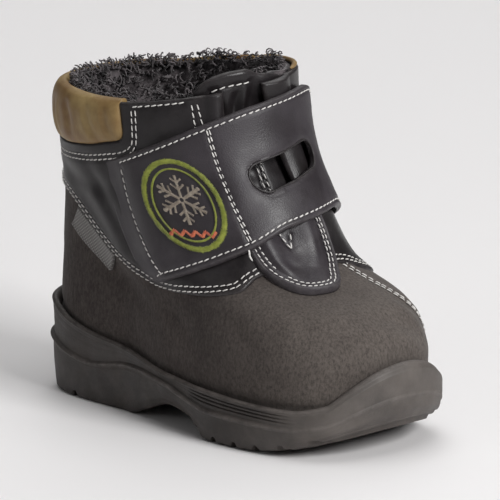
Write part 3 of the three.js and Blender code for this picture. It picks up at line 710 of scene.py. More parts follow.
def rubberMaterial():
    material, tree, shader = newMaterial("soleRubber")
    clouds = placeGroup(tree, "clouds", {
        "Colour": rgba(rubberLook["colour"]), "Light": rgba(rubberLook["light"]),
        "Scale": 90.0, "Amount": 0.8})
    dust = placeGroup(tree, "dust", {"Top": 0.05, "Amount": 0.30})
    wear = placeGroup(tree, "wear", {"Amount": 0.5})
    toeColour = mixColour(tree, toeShare(tree, rubberLook), clouds["Colour"], rgba(rubberLook["toe"]))
    dusty = mixColour(tree, dust["Mask"], toeColour, rgba(rubberLook["dust"]))
    rubbedAndHighlit = mixColour(tree, wear["Mask"], dusty, rgba(rubberLook["wornAndHighlight"]))
    tree.links.new(rubbedAndHighlit, shader.inputs["Base Color"])
    rough = remap(tree, clouds["Mask"], 0.0, 1.0, 0.5, 0.68)
    tree.links.new(rough, shader.inputs["Roughness"])
    bumpInto(tree, shader, noise(tree, objectPlace(tree), 1500.0, 4.0, 0.7), 0.00012)
    return material


# colour, light colour, roughness, scale, bump in metres, sheen
fibreLooks = {
    "seamThread": ((0.56, 0.54, 0.52), (0.74, 0.72, 0.69), 0.7, 700.0, 0.0001, 0.3),
    "greenThread": ((0.17, 0.20, 0.02), (0.30, 0.33, 0.05), 0.55, 500.0, 0.0001, 0.3),
    "orangeThread": ((0.50, 0.10, 0.05), (0.66, 0.20, 0.09), 0.55, 500.0, 0.0001, 0.3),
    "greyThread": ((0.22, 0.18, 0.14), (0.36, 0.31, 0.25), 0.55, 500.0, 0.0001, 0.3),
    "woolPile": ((0.014, 0.011, 0.012), (0.150, 0.130, 0.136), 0.9, 260.0, 0.0006, 0.3),
    "footbedFelt": ((0.06, 0.058, 0.055), (0.11, 0.105, 0.10), 0.95, 220.0, 0.0003, 0.4),
}


def fibreMaterial(name):
    colour, light, roughness, scale, depth, sheen = fibreLooks[name]
    material, tree, shader = newMaterial(name)
    clouds = placeGroup(tree, "clouds", {
        "Colour": rgba(colour), "Light": rgba(light), "Scale": scale, "Amount": 1.0})
    tree.links.new(clouds["Colour"], shader.inputs["Base Color"])
    shader.inputs["Roughness"].default_value = roughness
    shader.inputs["Sheen Weight"].default_value = sheen
    shader.inputs["Specular IOR Level"].default_value = 0.3
    bumpInto(tree, shader, noise(tree, objectPlace(tree), scale * 4, 3.0, 0.7), depth)
    return material


def tapeMaterial():
    material, tree, shader = newMaterial("wovenTape")
    weave = placeGroup(tree, "weave", {"Scale": 330.0, "Tilt": math.radians(33)})
    dust = placeGroup(tree, "dust", {"Top": 0.12, "Amount": 0.6})
    woven = mixColour(tree, weave["Mask"], rgba((0.10, 0.095, 0.09)), rgba((0.24, 0.23, 0.22)))
    dusty = mixColour(tree, dust["Mask"], woven, rgba((0.15, 0.14, 0.13)))
    tree.links.new(dusty, shader.inputs["Base Color"])
    shader.inputs["Roughness"].default_value = 0.75
    shader.inputs["Sheen Weight"].default_value = 0.2
    bumpInto(tree, shader, weave["Height"], 0.0001)
    return material


materials = {
    "suede": suedeMaterial(),
    "smooth": leatherMaterial("smoothLeather"),
    # lighter copy of the smooth leather, painted light on the strap and apron
    "strap": leatherMaterial("strapLeatherPaintedLight"),
    "olive": leatherMaterial("oliveLeather"),
    "rubber": rubberMaterial(),
    "thread": fibreMaterial("seamThread"),
    "greenThread": fibreMaterial("greenThread"),
    "orangeThread": fibreMaterial("orangeThread"),
    "greyThread": fibreMaterial("greyThread"),
    "pile": fibreMaterial("woolPile"),
    "felt": fibreMaterial("footbedFelt"),
    "tape": tapeMaterial(),
}
print("materials made:", len(materials))


# Camera, floor and lights
studio = {
    "azimuth": 45.44, "elevation": 13.64, "distance": 2.2, "aim": (0.0024, 0.0031, 0.0573),
    "lens": 460.0, "floor": (0.84, 0.825, 0.825), "floorShade": (0.76, 0.755, 0.76),
    "floorReach": 6.0, "world": 0.125,
    "lamps": {  # place, aim, size, power in watts
        "keyLamp": ((1.75, 0.0, 1.15), (0, 0, 0.06), 0.8, 39.0),
        "fillLamp": ((-0.4, -1.8, 0.9), (0, 0, 0.06), 0.8, 2.0),
        "topLamp": ((0.0, 0.1, 2.0), (0, 0, 0.0), 1.6, 15.0),
        "floorLamp": ((-1.0, 1.0, 1.3), (-1.0, 1.0, 0.0), 1.3, 9.0),
    },
}


def makeStudio():
    scene = bpy.context.scene
    azimuth, elevation = (math.radians(studio[key]) for key in ("azimuth", "elevation"))
    back = np.array([math.sin(azimuth) * math.cos(elevation),
                     -math.cos(azimuth) * math.cos(elevation), math.sin(elevation)])
    camera = bpy.data.objects.new("camera", bpy.data.cameras.new("camera"))
    camera.location = np.array(studio["aim"]) + back * studio["distance"]
    camera.rotation_euler = (math.pi / 2 - elevation, 0, azimuth)
    camera.data.lens = studio["lens"]
    camera.data.sensor_width = 36.0
    camera.data.clip_start = 0.05
    scene.collection.objects.link(camera)
    scene.camera = camera

    floorMesh = bpy.data.meshes.new("floor")
    reach = studio["floorReach"]
    floorMesh.from_pydata([(-reach, -reach, 0), (reach, -reach, 0), (reach, reach, 0),
                           (-reach, reach, 0)], [], [(0, 1, 2, 3)])
    floorObject = bpy.data.objects.new("floor", floorMesh)
    material, tree, shader = newMaterial("paleFloor")
    place = objectPlace(tree)
    shade = remap(tree, noise(tree, place, 3.0, 2.0), 0.3, 0.7, 0.98, 1.0)
    tree.links.new(mixColour(tree, shade, rgba(studio["floorShade"]), rgba(studio["floor"])),
                   shader.inputs["Base Color"])
    shader.inputs["Roughness"].default_value = 0.6
    floorMesh.materials.append(material)
    scene.collection.objects.link(floorObject)

    for name, (location, aim, size, power) in studio["lamps"].items():
        lamp = bpy.data.objects.new(name, bpy.data.lights.new(name, "AREA"))
        lamp.data.shape = "SQUARE"
        lamp.data.size = size
        lamp.data.energy = power
        lamp.location = location
        way = np.array(location) - np.array(aim)
        flatWay = math.hypot(way[0], way[1])
        lamp.rotation_euler = (math.atan2(flatWay, way[2]), 0, math.atan2(way[0], -way[1]))
        scene.collection.objects.link(lamp)
    world = bpy.data.worlds.new("studio")
    world.use_nodes = True
    world.node_tree.nodes["Background"].inputs[0].default_value = (1.0, 0.995, 1.0, 1.0)
    world.node_tree.nodes["Background"].inputs[1].default_value = studio["world"]
    scene.world = world
    scene.view_settings.view_transform = "Standard"


makeStudio()
print("studio ready")


# Sole: one moulded cup with lugs, a beaded ridge round its side and a lip at the rim

def grooveMask(x, y, places, width):
    slant = math.radians(soleForm["slant"])
    aside = np.abs(y) - soleForm["spine"] / 2
    mask = np.zeros(np.shape(x))
    for place in places:
        line = boot["soleLength"] * place - math.tan(slant) * aside
        distance = np.abs(x - line) * math.cos(slant)
        mask = np.maximum(mask, soft((width / 2 + 0.25 - distance) / 0.5))
    return mask * soft(aside / 0.9)


def treadZ(x, y):
    lugs = soleForm["lugDepth"] * grooveMask(x, y, soleForm["lugPlaces"], soleForm["grooveWidth"])
    sipes = soleForm["sipeDepth"] * grooveMask(x, y, soleForm["sipePlaces"], soleForm["sipeWidth"])
    return bottomZ(x / boot["soleLength"]) + np.maximum(lugs, sipes)


def ringFill(points, ringStart, count, cells, height, turnOver):
    toe = count // 2
    i = np.arange(1, toe)
    share = np.linspace(0, 1, cells + 1)[1:-1]
    ring = points[ringStart:ringStart + count]
    inner = mix(ring[i][:, None], ring[count - i][:, None], share[None, :, None])
    inner[..., 2] = height(inner[..., 0], inner[..., 1])
    base = len(points)
    index = np.concatenate([(ringStart + i)[:, None],
                            base + np.arange(inner.shape[0] * inner.shape[1]).reshape(inner.shape[:2]),
                            (ringStart + count - i)[:, None]], 1)
    quads = np.stack([index[:-1, :-1], index[:-1, 1:], index[1:, 1:], index[1:, :-1]], -1).reshape(-1, 4)
    heel = np.stack([np.full(cells, ringStart), index[0, 1:], index[0, :-1]], -1)
    front = np.stack([np.full(cells, ringStart + toe), index[-1, :-1], index[-1, 1:]], -1)
    faces = [list(f[::-1] if turnOver else f) for f in quads]
    faces += [list(f[::-1] if turnOver else f) for f in np.concatenate([heel, front])]
    return np.concatenate([points, inner.reshape(-1, 3)]), faces


def makeSole():
    count = soleForm["columns"]
    turn = np.arange(count) / count
    along, across = footShare(turn)
    ridgeDepth = soleForm["ridgeStep"] * (1 - soft((along - 0.74) / 0.14))
    bead = soleForm["bead"] * (1 - soft((along - 0.76) / 0.14))
    lines = 0.55 * soft((along - 0.55) / 0.08) * (1 - soft((along - 0.8) / 0.1))
    archIn = 2.2 * soleCurve["arch"](along)
    nose = soft((along - 0.86) / 0.14)
    # the lower panel of the heel block, set back a little under the ridge
    block = 0.6 * soft((along - 0.245) / 0.008) * (1 - soft((along - 0.46) / 0.03)) * (across < 0)
    bottom, ridge, rim = bottomZ(along), ridgeZ(along), rimZ(along)

    def up(t):
        return mix(ridge + 1, rim - 0.8, t)
    # inset from the plan and height, from under the edge up the side and over the rim
    rows = [
        (3.4 + archIn + nose, bottom), (2.6 + archIn + nose, bottom + 0.12),
        (1.9 + archIn + nose, bottom + 0.7), (1.5 + archIn + nose, bottom + 1.5),
        (1.15 + 0.6 * archIn + 0.5 * nose, mix(bottom, ridge, 0.3)),
        (0.9 + 0.4 * archIn + block, mix(bottom, ridge, 0.45)),
        (0.75 + block, mix(bottom, ridge, 0.6)), (0.62 + block, ridge - 2.3),
        (0.55 + 0.5 * block, ridge - 1.7), (0.45, ridge - 1.1), (0.3 - 0.5 * bead, ridge - 0.75),
        (0.1 - 0.8 * bead, ridge - 0.35), (-0.75 * bead, ridge),
        (0.15 * ridgeDepth - 0.5 * bead, ridge + 0.4),
        (0.6 * ridgeDepth, ridge + 0.75), (ridgeDepth + 0.1, up(0)), (1.15 * ridgeDepth, up(0.12)),
        (1.15 * ridgeDepth, up(0.24)), (1.1 * ridgeDepth + lines, up(0.31)), (1.05 * ridgeDepth, up(0.38)),
        (ridgeDepth, up(0.5)), (ridgeDepth + lines, up(0.58)), (0.9 * ridgeDepth, up(0.65)),
        (0.8 * ridgeDepth, up(0.76)), (0.8 * ridgeDepth + 0.7 * lines, up(0.83)),
        (0.62 * ridgeDepth + 0.4 * nose, up(0.89)), (0.25 + 0.3 * ridgeDepth + 0.6 * nose, up(0.95)),
        (0.3 + 0.8 * nose, up(1)), (0.75 + 1.1 * nose, rim - 0.25), (1.4 + 1.3 * nose, rim),
        (2.1 + 1.4 * nose, rim - 0.1),
    ]
    inset = refineRows([np.broadcast_to(row[0], along.shape) for row in rows], 3)
    height = refineRows([row[1] for row in rows], 3)
    x = inset + (boot["soleLength"] - 2 * inset) * along
    y = (boot["ballWidth"] / 2 - inset) * across
    height = np.maximum(height, np.where(height < bottom + 4, treadZ(x, y), 0))
    side = np.stack([x, y, height], -1)
    side += handWaves(side, 38.0, 0.12, 5)[..., None] * np.array([0.3, 1.0, 0.0])
    side[0, :, 2] = height[0]
    lastAlong = alongAt(turn)
    cup = np.stack([skin(turn, mix(rimZ(lastAlong) - 0.5, floorZ(lastAlong), t), boot["gap"])
                    for t in (0, 0.3, 0.65, 1)])
    body = np.concatenate([side, cup])
    points = body.reshape(-1, 3)
    faces = [list(face) for face in gridFaces(len(body), count, 0, True)]
    points, bottomFaces = ringFill(points, 0, count, soleForm["acrossCells"], treadZ, False)
    points, floorFaces = ringFill(points, (len(body) - 1) * count, count, 10,
                                  lambda fx, fy: floorZ(fx / boot["soleLength"]), True)
    # the edge mark lightens the ridge bead and the rim lip: rubbed wear and painted highlight
    edge = np.zeros(len(points))
    edge[:side.shape[0] * count] = (bell(side[..., 2] - ridge, 0.8)
                                    + bell(side[..., 2] - rim, 0.9)).ravel()
    makePiece("sole_moulded", points, faces + bottomFaces + floorFaces, materials["rubber"],
              replaces=["sole"], slot="sole_rubber", marks={"edge": edge})


makeSole()


# Footbed: felt, with a slightly raised edge
footbed = {"thickness": 3.0, "columns": 360, "lift": 0.3}


def makeFootbed():
    count = footbed["columns"]
    turn = np.arange(count) / count
    ring = skin(turn, floorZ(alongAt(turn)) + boot["gap"], -boot["upperWall"] - 2 * boot["gap"])
    middle = np.array([boot["soleLength"] / 2, 0.0, 0.0])
    rows = []
    for inward, lift in ((0.4, 0.3), (0.0, 0.7), (0.0, 2.4), (0.5, 3.1), (1.4, 3.3), (3.0, 3.0)):
        row = ring + unit((middle - ring) * [1, 1, 0]) * inward
        row[:, 2] = floorZ(row[:, 0] / boot["soleLength"]) + lift
        rows.append(row)
    points = np.concatenate(rows)
    faces = [list(face) for face in gridFaces(len(rows), count, 0, True)]
    points, under = ringFill(points, 0, count, 8,
                             lambda x, y: floorZ(x / boot["soleLength"]) + footbed["lift"], False)

    def wave(x, y):
        level = floorZ(x / boot["soleLength"]) + footbed["thickness"]
        return level + 0.15 * np.sin(x / 9) * np.cos(y / 7)
    points, over = ringFill(points, (len(rows) - 1) * count, count, 24, wave, True)
    makePiece("footbed_felt", points, faces + under + over, materials["felt"],
              replaces=["insole"], slot="felt")


makeFootbed()
print("sole and footbed made")


# Suede galosh: from inside the cup up under the quarters, with the folds of wear
galosh = {
    "columns": 430, "rows": 78, "under": 3.0, "intoCup": 5.0, "wall": 1.4,
    "folds": [
        {"path": [(0.355, 34), (0.392, 39), (0.430, 43), (0.462, 44.5)], "width": 3.2, "depth": 0.7},
        {"path": [(0.470, 45), (0.510, 44), (0.545, 41), (0.580, 36)], "width": 3.4, "depth": 0.7},
        {"path": [(0.330, 30), (0.365, 37), (0.395, 46), (0.402, 50)], "width": 2.8, "depth": 0.5},
        {"path": [(0.560, 50), (0.590, 43), (0.615, 34)], "width": 3.0, "depth": 0.6},
        {"path": [(0.215, 46), (0.240, 38), (0.262, 30)], "width": 3.6, "depth": 0.5},
        {"path": [(0.150, 58), (0.190, 46), (0.215, 36)], "width": 4.0, "depth": 0.5},
        {"path": [(0.290, 46), (0.310, 38), (0.322, 29)], "width": 3.4, "depth": 0.45},
        {"path": [(0.800, 48), (0.770, 40), (0.740, 32)], "width": 3.4, "depth": 0.5},
        {"path": [(0.700, 44), (0.690, 37), (0.672, 29)], "width": 3.2, "depth": 0.45},
        {"path": [(0.440, 36), (0.500, 37), (0.560, 35)], "width": 4.5, "depth": -0.45},
    ],
    "innerSeam": [(0.528, 61), (0.560, 54), (0.600, 44), (0.640, 34), (0.672, 25)],
}


def makeGalosh():
    turn = np.arange(galosh["columns"]) / galosh["columns"]
    share = np.linspace(0, 1, galosh["rows"])
    rim = rimZ(alongAt(turn))
    low = rim - galosh["intoCup"]
    high = seamZ(turn) + galosh["under"]
    turnGrid = np.broadcast_to(turn, (len(share), len(turn)))
    z = mix(low, high, share[:, None])
    base = skin(turnGrid, z)
    tuck = 0.5 * bell(z - rim, 1.6)
    underQuarter = 0.35 * soft((z - seamZ(turnGrid) + 0.6) / 1.2)
    seamPath = surfacePath(galosh["innerSeam"])
    seamRows = [besidePath(seamPath, shift) for shift in (-0.9, 0.9)]
    seamStep = nearPath(base, besidePath(seamPath, 2.2)[0])[0]
    outer = (foldRelief(base, galosh["folds"]) + handWaves(base, 30.0, 0.35, 3)
             + stitchRelief(base, seamRows) - tuck - underQuarter
             + 0.25 * bell(seamStep, 0.8))
    edge = bell(z - rim, 1.5) + 0.6 * bell(seamStep, 0.8)
    inner = np.full_like(z, -galosh["wall"])
    makeSheet("galosh_suede", turnGrid, z, outer, inner, materials["suede"], True,
              marks={"edge": edge}, replaces=["upper"], slot="suede")
    makeStitches("galosh_seam_stitches", raised(seamRows, 0.05))


makeGalosh()


# Smooth leather quarters over the suede, one on each side, joined round the heel
quarters = {
    "columns": 400, "rows": 72, "around": 290.0, "upward": 60.0, "edgeDrop": 1.0,
    "bulge": 1.9, "bulgeWidth": 0.029, "farBulge": 1.8, "farBulgeWidth": 0.055,
    "nearEdge": {"foot": 0.408, "top": 0.4245}, "farEdge": {"foot": 0.522, "top": 0.489},
    "folds": [
        {"path": [(0.150, 78), (0.185, 72), (0.215, 62)], "width": 3.4, "depth": 0.6},
        {"path": [(0.120, 84), (0.160, 80), (0.205, 79), (0.240, 82)], "width": 3.0, "depth": 0.55},
        {"path": [(0.200, 88), (0.222, 78), (0.236, 66), (0.246, 56)], "width": 2.6, "depth": 0.5},
        {"path": [(0.300, 98), (0.330, 102), (0.365, 106)], "width": 2.8, "depth": 0.45},
        {"path": [(0.262, 92), (0.285, 95), (0.310, 98)], "width": 1.6, "depth": 0.4},
        {"path": [(0.060, 82), (0.090, 79), (0.120, 80)], "width": 2.6, "depth": 0.4},
        {"path": [(0.880, 80), (0.840, 74), (0.800, 66)], "width": 3.2, "depth": 0.5},
        {"path": [(0.720, 84), (0.740, 72), (0.750, 60)], "width": 3.0, "depth": 0.5},
        {"path": [(0.670, 56), (0.700, 54), (0.730, 52)], "width": 2.2, "depth": 0.35},
    ],
    "collarRow": [(0.000, 86.6), (0.140, 87.6), (0.205, 89.4), (0.248, 92.0), (0.272, 94.6),
                  (0.283, 98.0), (0.2865, 104.0), (0.288, 109.0)],
    "topRow": [(0.288, 110.0), (0.310, 111.0), (0.333, 112.0), (0.366, 113.4)],
    "facingRows": [[(0.3755, 113.0), (0.3765, 106.0), (0.3790, 98.0)],
                   [(0.3835, 113.4), (0.3875, 106.0), (0.3920, 98.0)]],
}


def insideCollar(turn, z):
    wrapped = np.abs(np.mod(turn + 0.5, 1.0) - 0.5)
    aside = (boot["collarEnd"] - wrapped) * boot["shaftRound"]
    above = z - collarZ(turn)
    corner = boot["collarCorner"]
    fromCorner = corner - np.hypot(np.clip(corner - aside, 0, None), np.clip(corner - above, 0, None))
    return np.minimum(np.minimum(aside, above), fromCorner)


def quarterPaths():
    seam = np.array([(t, seamZ(t)) for t in np.linspace(0.0, 0.403, 26)])
    far = np.array([(t, seamZ(t)) for t in np.linspace(0.525, 1.0, 28)])
    paths = []
    for rows in (seam, far):
        path = surfacePath(rows, 150)
        paths += [path, besidePath(path, 1.75)]
    mirrored = [(1 - t, z) for t, z in quarters["collarRow"]][::-1]
    for rows in (quarters["collarRow"], mirrored):
        path = surfacePath(rows, 110)
        paths += [path, besidePath(path, -1.7)]
    mirroredTop = [(1 - t, z + 0.6) for t, z in quarters["topRow"]][::-1]
    single = [quarters["topRow"], mirroredTop] + quarters["facingRows"]
    return paths + [surfacePath(rows) for rows in single]


def quarterStand(turn, z, front, back):
    under = soft(insideCollar(turn, z) / 1.6)
    nearRoll = np.clip((turn - (front - quarters["bulgeWidth"])) / quarters["bulgeWidth"], 0, 1)
    farWidth = quarters["farBulgeWidth"]
    farRoll = np.clip(((back + farWidth) - turn) / farWidth, 0, 1)
    roll = (quarters["bulge"] * np.sin(np.pi * nearRoll ** 1.1)
            + quarters["farBulge"] * np.sin(np.pi * farRoll ** 1.1)) * soft((z - 70) / 20)
    return mix(boot["quarterThickness"] + roll, -0.9, under)


def makeQuarters():
    around, upward = quarters["around"], quarters["upward"]
    share = edgedShares(quarters["columns"], around, 1.6)
    rise = edgedShares(quarters["rows"], upward, 1.2)
    shareGrid, riseGrid = np.meshgrid(share, rise)
    near, far = quarters["nearEdge"], quarters["farEdge"]
    front = mix(near["foot"], near["top"], riseGrid)
    back = mix(far["foot"], far["top"], riseGrid) - 1.0
    turn = mix(front, back, shareGrid)
    z = mix(seamZ(turn) - quarters["edgeDrop"], topZ(turn), riseGrid)
    base = skin(turn, z)
    paths = quarterPaths()
    edgeDistance = np.minimum.reduce([riseGrid * upward, (1 - riseGrid) * upward,
                                      shareGrid * around, (1 - shareGrid) * around])
    inner = np.full_like(z, -0.35)
    top = quarterStand(turn, z, front, back)
    relief = (foldRelief(base, quarters["folds"]) + handWaves(base, 26.0, 0.22, 8)
              + stitchRelief(base, paths))
    outer = mix(inner, top + relief, roundEdge(edgeDistance, 0.9))
    inner = np.where(insideCollar(turn, z) > 0.5, -2.2, inner)
    makeSheet("quarters_leather", turn, z, outer, inner, materials["smooth"],
              marks={"edge": bell(edgeDistance, 0.9)}, replaces=["upper"], slot="smooth_leather")
    makeStitches("quarter_stitches", raised(paths, boot["quarterThickness"] - 0.22))


makeQuarters()
print("upper made")


# Wool pile lining: a lumpy base over the inside of the shaft, and curls standing on it
pile = {
    "columns": 200, "rows": 56, "stand": -2.6, "curls": 1800, "lowest": 72.0,
    "radius": 0.27, "loopRadius": 1.1, "rimCurls": 440,
}


def liningTop(turn):
    return topZ(turn) - 0.6


def liningStand(turn, z):
    wrapped = np.mod(turn, 1.0)
    behind = soft((wrapped - 0.362) / 0.02) * soft((0.578 - wrapped) / 0.02) * soft((z - 52) / 12)
    return pile["stand"] - 4.6 * behind


def makeLining():
    turn = np.arange(pile["columns"]) / pile["columns"]
    share = np.linspace(0, 1, pile["rows"])
    low = floorZ(alongAt(turn)) + 1.0
    turnGrid = np.broadcast_to(turn, (len(share), len(turn)))
    z = mix(low, liningTop(turn), share[:, None])
    base = skin(turnGrid, z)
    lumps = 0.5 * handWaves(base, 3.2, 1.6, 4) + 0.5 * handWaves(base, 1.7, 1.2, 6)
    backing = liningStand(turnGrid, z)
    makeSheet("wool_lining", turnGrid, z, backing + 1.0, backing - 1.3 * soft((z - low) / 6) + lumps,
              materials["pile"], True, replaces=["upper"], slot="wool_pile")


def makeCurls():
    count = pile["curls"]
    turn = rng.uniform(0, 1, count)
    z = mix(pile["lowest"], liningTop(turn) + 0.2, rng.uniform(0, 1, count) ** 0.6)
    # tufts that stand over the rim, most of them round the heel
    rimTurn = rng.normal(0.93, 0.20, pile["rimCurls"]) % 1.0
    tuft = rng.uniform(0, 1, pile["rimCurls"]) ** 1.5
    turn = np.concatenate([turn, rimTurn])
    z = np.concatenate([z, liningTop(rimTurn) + mix(0.2, 3.6, tuft)])
    total = len(turn)
    inward = -outward(turn, z)
    root = skin(turn, z, liningStand(turn, z) - 1.2 + rng.normal(0, 0.35, total))
    across = unit(np.cross(inward, rng.normal(size=(total, 3))))
    rise = np.cross(inward, across)
    loop = pile["loopRadius"] * rng.uniform(0.5, 1.3, total)
    angle = np.linspace(0, 1.7 * np.pi, 8)
    drift = np.linspace(-0.5, 0.5, 8)
    paths = (root[:, None]
             + inward[:, None] * (loop[:, None] * (1 - np.cos(angle)) * 0.9)[..., None]
             + across[:, None] * (loop[:, None] * np.sin(angle))[..., None]
             + rise[:, None] * (loop[:, None] * drift)[..., None])
    normals = np.broadcast_to(rise[:, None], paths.shape)
    points, faces = tubeMesh(paths, normals, pile["radius"], 4)
    makePiece("wool_curls", points, faces, materials["pile"], replaces=["upper"], slot="wool_pile")


makeLining()
makeCurls()
print("lining made")


# Padded collar of soft leather, rolled over the top line
collar = {
    "columns": 300,
    "folds": [
        {"path": [(0.045, 104), (0.050, 98), (0.052, 92)], "width": 1.6, "depth": 0.5},
        {"path": [(0.090, 107), (0.100, 100), (0.098, 93)], "width": 2.0, "depth": 0.55},
        {"path": [(0.135, 106), (0.140, 99), (0.150, 93)], "width": 1.5, "depth": 0.45},
        {"path": [(0.176, 108), (0.186, 101), (0.184, 95)], "width": 2.0, "depth": 0.55},
        {"path": [(0.222, 108), (0.228, 102), (0.238, 96)], "width": 1.6, "depth": 0.5},
        {"path": [(0.250, 109), (0.252, 104), (0.258, 98)], "width": 1.3, "depth": 0.35},
        {"path": [(0.955, 105), (0.950, 99), (0.948, 92)], "width": 1.8, "depth": 0.5},
        {"path": [(0.900, 107), (0.893, 100), (0.896, 93)], "width": 2.0, "depth": 0.55},
        {"path": [(0.840, 108), (0.832, 101), (0.830, 95)], "width": 1.8, "depth": 0.5},
        {"path": [(0.790, 110), (0.780, 103), (0.776, 97)], "width": 1.7, "depth": 0.45},
    ],
}


def makeCollar():
    end = boot["collarEnd"] - 0.001
    across = edgedShares(collar["columns"], 150.0, 3.2)
    turn = mix(-end, end, across)
    fromEnd = (end - np.abs(turn)) * boot["shaftRound"]
    low, high = collarZ(turn) + 0.2, topZ(turn)
    low = low + boot["collarCorner"] * (1 - roundEdge(fromEnd, boot["collarCorner"]))
    # the pad's section, as share of the rise, lift over it and distance off the last:
    # outside from its lower edge, over the top, down the inside
    section = [(0.0, 0.0, -0.6), (0.0, 0.0, 0.25), (0.015, 0.0, 0.9), (0.05, 0.0, 1.6),
               (0.11, 0.0, 2.15), (0.2, 0.0, 2.6), (0.32, 0.0, 2.85), (0.45, 0.0, 2.95),
               (0.58, 0.0, 2.9), (0.7, 0.0, 2.72), (0.8, 0.0, 2.4), (0.88, 0.0, 2.0),
               (0.95, 0.0, 1.4), (1.0, 0.0, 0.75), (1.0, 0.55, -0.1), (1.0, 0.9, -1.1),
               (1.0, 0.9, -2.0), (1.0, 0.5, -2.7), (1.0, -0.3, -3.05), (1.0, -1.2, -3.1),
               (1.0, -2.4, -2.9), (1.0, -3.6, -2.5), (1.0, -4.2, -2.0), (1.0, -4.2, -1.0)]
    rise, lift, off = (column[:, None] for column in refineRows(section, 4).T)
    z = mix(low, high, rise) + lift
    turnGrid = np.broadcast_to(turn, z.shape)
    squeeze = 0.25 + 0.75 * roundEdge(fromEnd, 3.2)
    stand = np.where(off > 0, off * squeeze, off)
    base = skin(turnGrid, z)
    onPad = soft(off / 1.2)
    relief = (foldRelief(base, collar["folds"]) + handWaves(base, 11.0, 0.35, 12)) * onPad
    relief = relief * soft(fromEnd / 3)
    points = skin(turnGrid, z, stand + relief)
    rows, columns = z.shape
    faces = [list(face) for face in gridFaces(rows, columns)]
    k = np.arange(columns - 1)
    top = (rows - 1) * columns
    faces += [list(f) for f in np.stack([k + 1, k, top + k, top + k + 1], -1)]
    faces.append([r * columns for r in range(rows)])
    faces.append([r * columns + columns - 1 for r in range(rows)][::-1])
    edge = np.broadcast_to(0.8 * bell(rise * 17, 1.2), z.shape)
    piece = makePiece("collar_pad", points, faces, materials["olive"], replaces=["collar"],
                      slot="collar_leather", marks={"edge": edge})


makeCollar()


# Thin olive binding that shows along the top edge of the inner quarter
binding = {"from": 0.565, "to": 0.730, "radius": 0.75}


def makeBinding():
    turn = np.linspace(binding["from"], binding["to"], 90)
    z = topZ(turn) + 0.35
    path = skin(turn, z, -0.2)
    points, faces = tubeMesh(path[None], outward(turn, z)[None], binding["radius"], 10, 1.3)
    makePiece("inner_binding", points, faces, materials["olive"], slot="collar_leather")


makeBinding()
print("collar made")


# Tongue: a padded flap with a stitched top, folds in a V and a roll at its far side
tongue = {
    "turn": [0.376, 0.392, 0.412, 0.440, 0.470, 0.492, 0.515, 0.540, 0.560],
    "high": [1.056, 1.086, 1.106, 1.120, 1.124, 1.106, 1.098, 1.085, 1.040],
    "foot": 0.56, "thickness": 3.2, "columns": 120, "rows": 80, "across": 52.0, "upward": 60.0,
    "folds": [
        {"path": [(0.404, 117), (0.418, 111), (0.430, 104)], "width": 1.8, "depth": 0.9},
        {"path": [(0.456, 118), (0.444, 111), (0.434, 104)], "width": 1.8, "depth": 0.9},
        {"path": [(0.481, 122), (0.481, 110), (0.479, 96)], "width": 2.4, "depth": 2.0},
        {"path": [(0.412, 108), (0.424, 105), (0.436, 106)], "width": 1.4, "depth": 0.5},
        {"path": [(0.392, 112), (0.402, 104), (0.410, 96)], "width": 2.2, "depth": 0.7},
        {"path": [(0.430, 98), (0.450, 94), (0.470, 92)], "width": 2.4, "depth": 0.7},
        {"path": [(0.420, 88), (0.450, 86), (0.480, 88)], "width": 2.4, "depth": 0.7},
        {"path": [(0.510, 120), (0.512, 108), (0.510, 96)], "width": 2.6, "depth": -0.8},
    ],
    "row": [(0.404, 116.6), (0.435, 118.4), (0.474, 119.2)],
    "seam": [(0.4615, 99.0), (0.4635, 90.0), (0.4655, 80.0)],
}


def makeTongue():
    high = smoothCurve(tongue["turn"], tongue["high"])
    wide, upward = tongue["across"], tongue["upward"]
    across = edgedShares(tongue["columns"], wide, 1.8)
    rise = edgedShares(tongue["rows"], upward, 1.8)
    turn, riseGrid = np.meshgrid(mix(tongue["turn"][0], tongue["turn"][-1], across), rise)
    acrossGrid = np.broadcast_to(across, turn.shape)
    z = boot["collarHeight"] * mix(tongue["foot"], high(turn), riseGrid)
    base = skin(turn, z)
    edgeDistance = np.minimum.reduce([acrossGrid * wide, (1 - acrossGrid) * wide,
                                      (1 - riseGrid) * upward])
    middle = -boot["upperWall"] - boot["gap"] - tongue["thickness"] / 2
    half = tongue["thickness"] / 2 * roundEdge(edgeDistance + 0.15, 1.6)
    row = surfacePath(tongue["row"])
    lean = 1.6 * soft((z - 108) / 14)
    relief = foldRelief(base, tongue["folds"]) + handWaves(base, 12.0, 0.4, 21)
    seam = surfacePath(tongue["seam"])
    seams = [seam, besidePath(seam, 1.8)]
    stitched = stitchRelief(base, [row] + seams, 0.5, 0.9)
    outer = middle + half + lean + relief + stitched
    inner = middle - half + lean + 0.6 * relief
    piece = makeSheet("tongue_padded", turn, z, outer, inner, materials["smooth"],
                      marks={"edge": bell(edgeDistance, 0.9)}, replaces=["tongue"],
                      slot="smooth_leather")
    level = middle + tongue["thickness"] / 2 + 1.2
    makeStitches("tongue_stitches", raised([row], level) + raised(seams, level - 1.1))


makeTongue()


# Apron over the foot of the throat: a U with a rolled edge, two soft ridges and a dip between
apron = {
    "middle": 0.463, "halfTurn": 0.067, "tip": 51.7, "high": 76.0, "squareness": 3.2,
    "thickness": 1.5, "columns": 170, "rows": 62,
    "ridges": [
        {"path": [(0.421, 75), (0.424, 68), (0.431, 61), (0.442, 56)], "width": 3.4, "depth": -1.3},
        {"path": [(0.497, 77), (0.496, 70), (0.492, 63), (0.482, 57)], "width": 3.0, "depth": -1.1},
        {"path": [(0.459, 76), (0.459, 70), (0.460, 64)], "width": 3.6, "depth": 1.1},
        {"path": [(0.440, 62), (0.452, 58.5), (0.466, 58)], "width": 1.6, "depth": 0.35},
    ],
    "vee": [(0.4475, 70.5), (0.459, 64.5), (0.4665, 69.5)],
    "rowShifts": [2.3, 3.9], "pitch": 2.1,
}


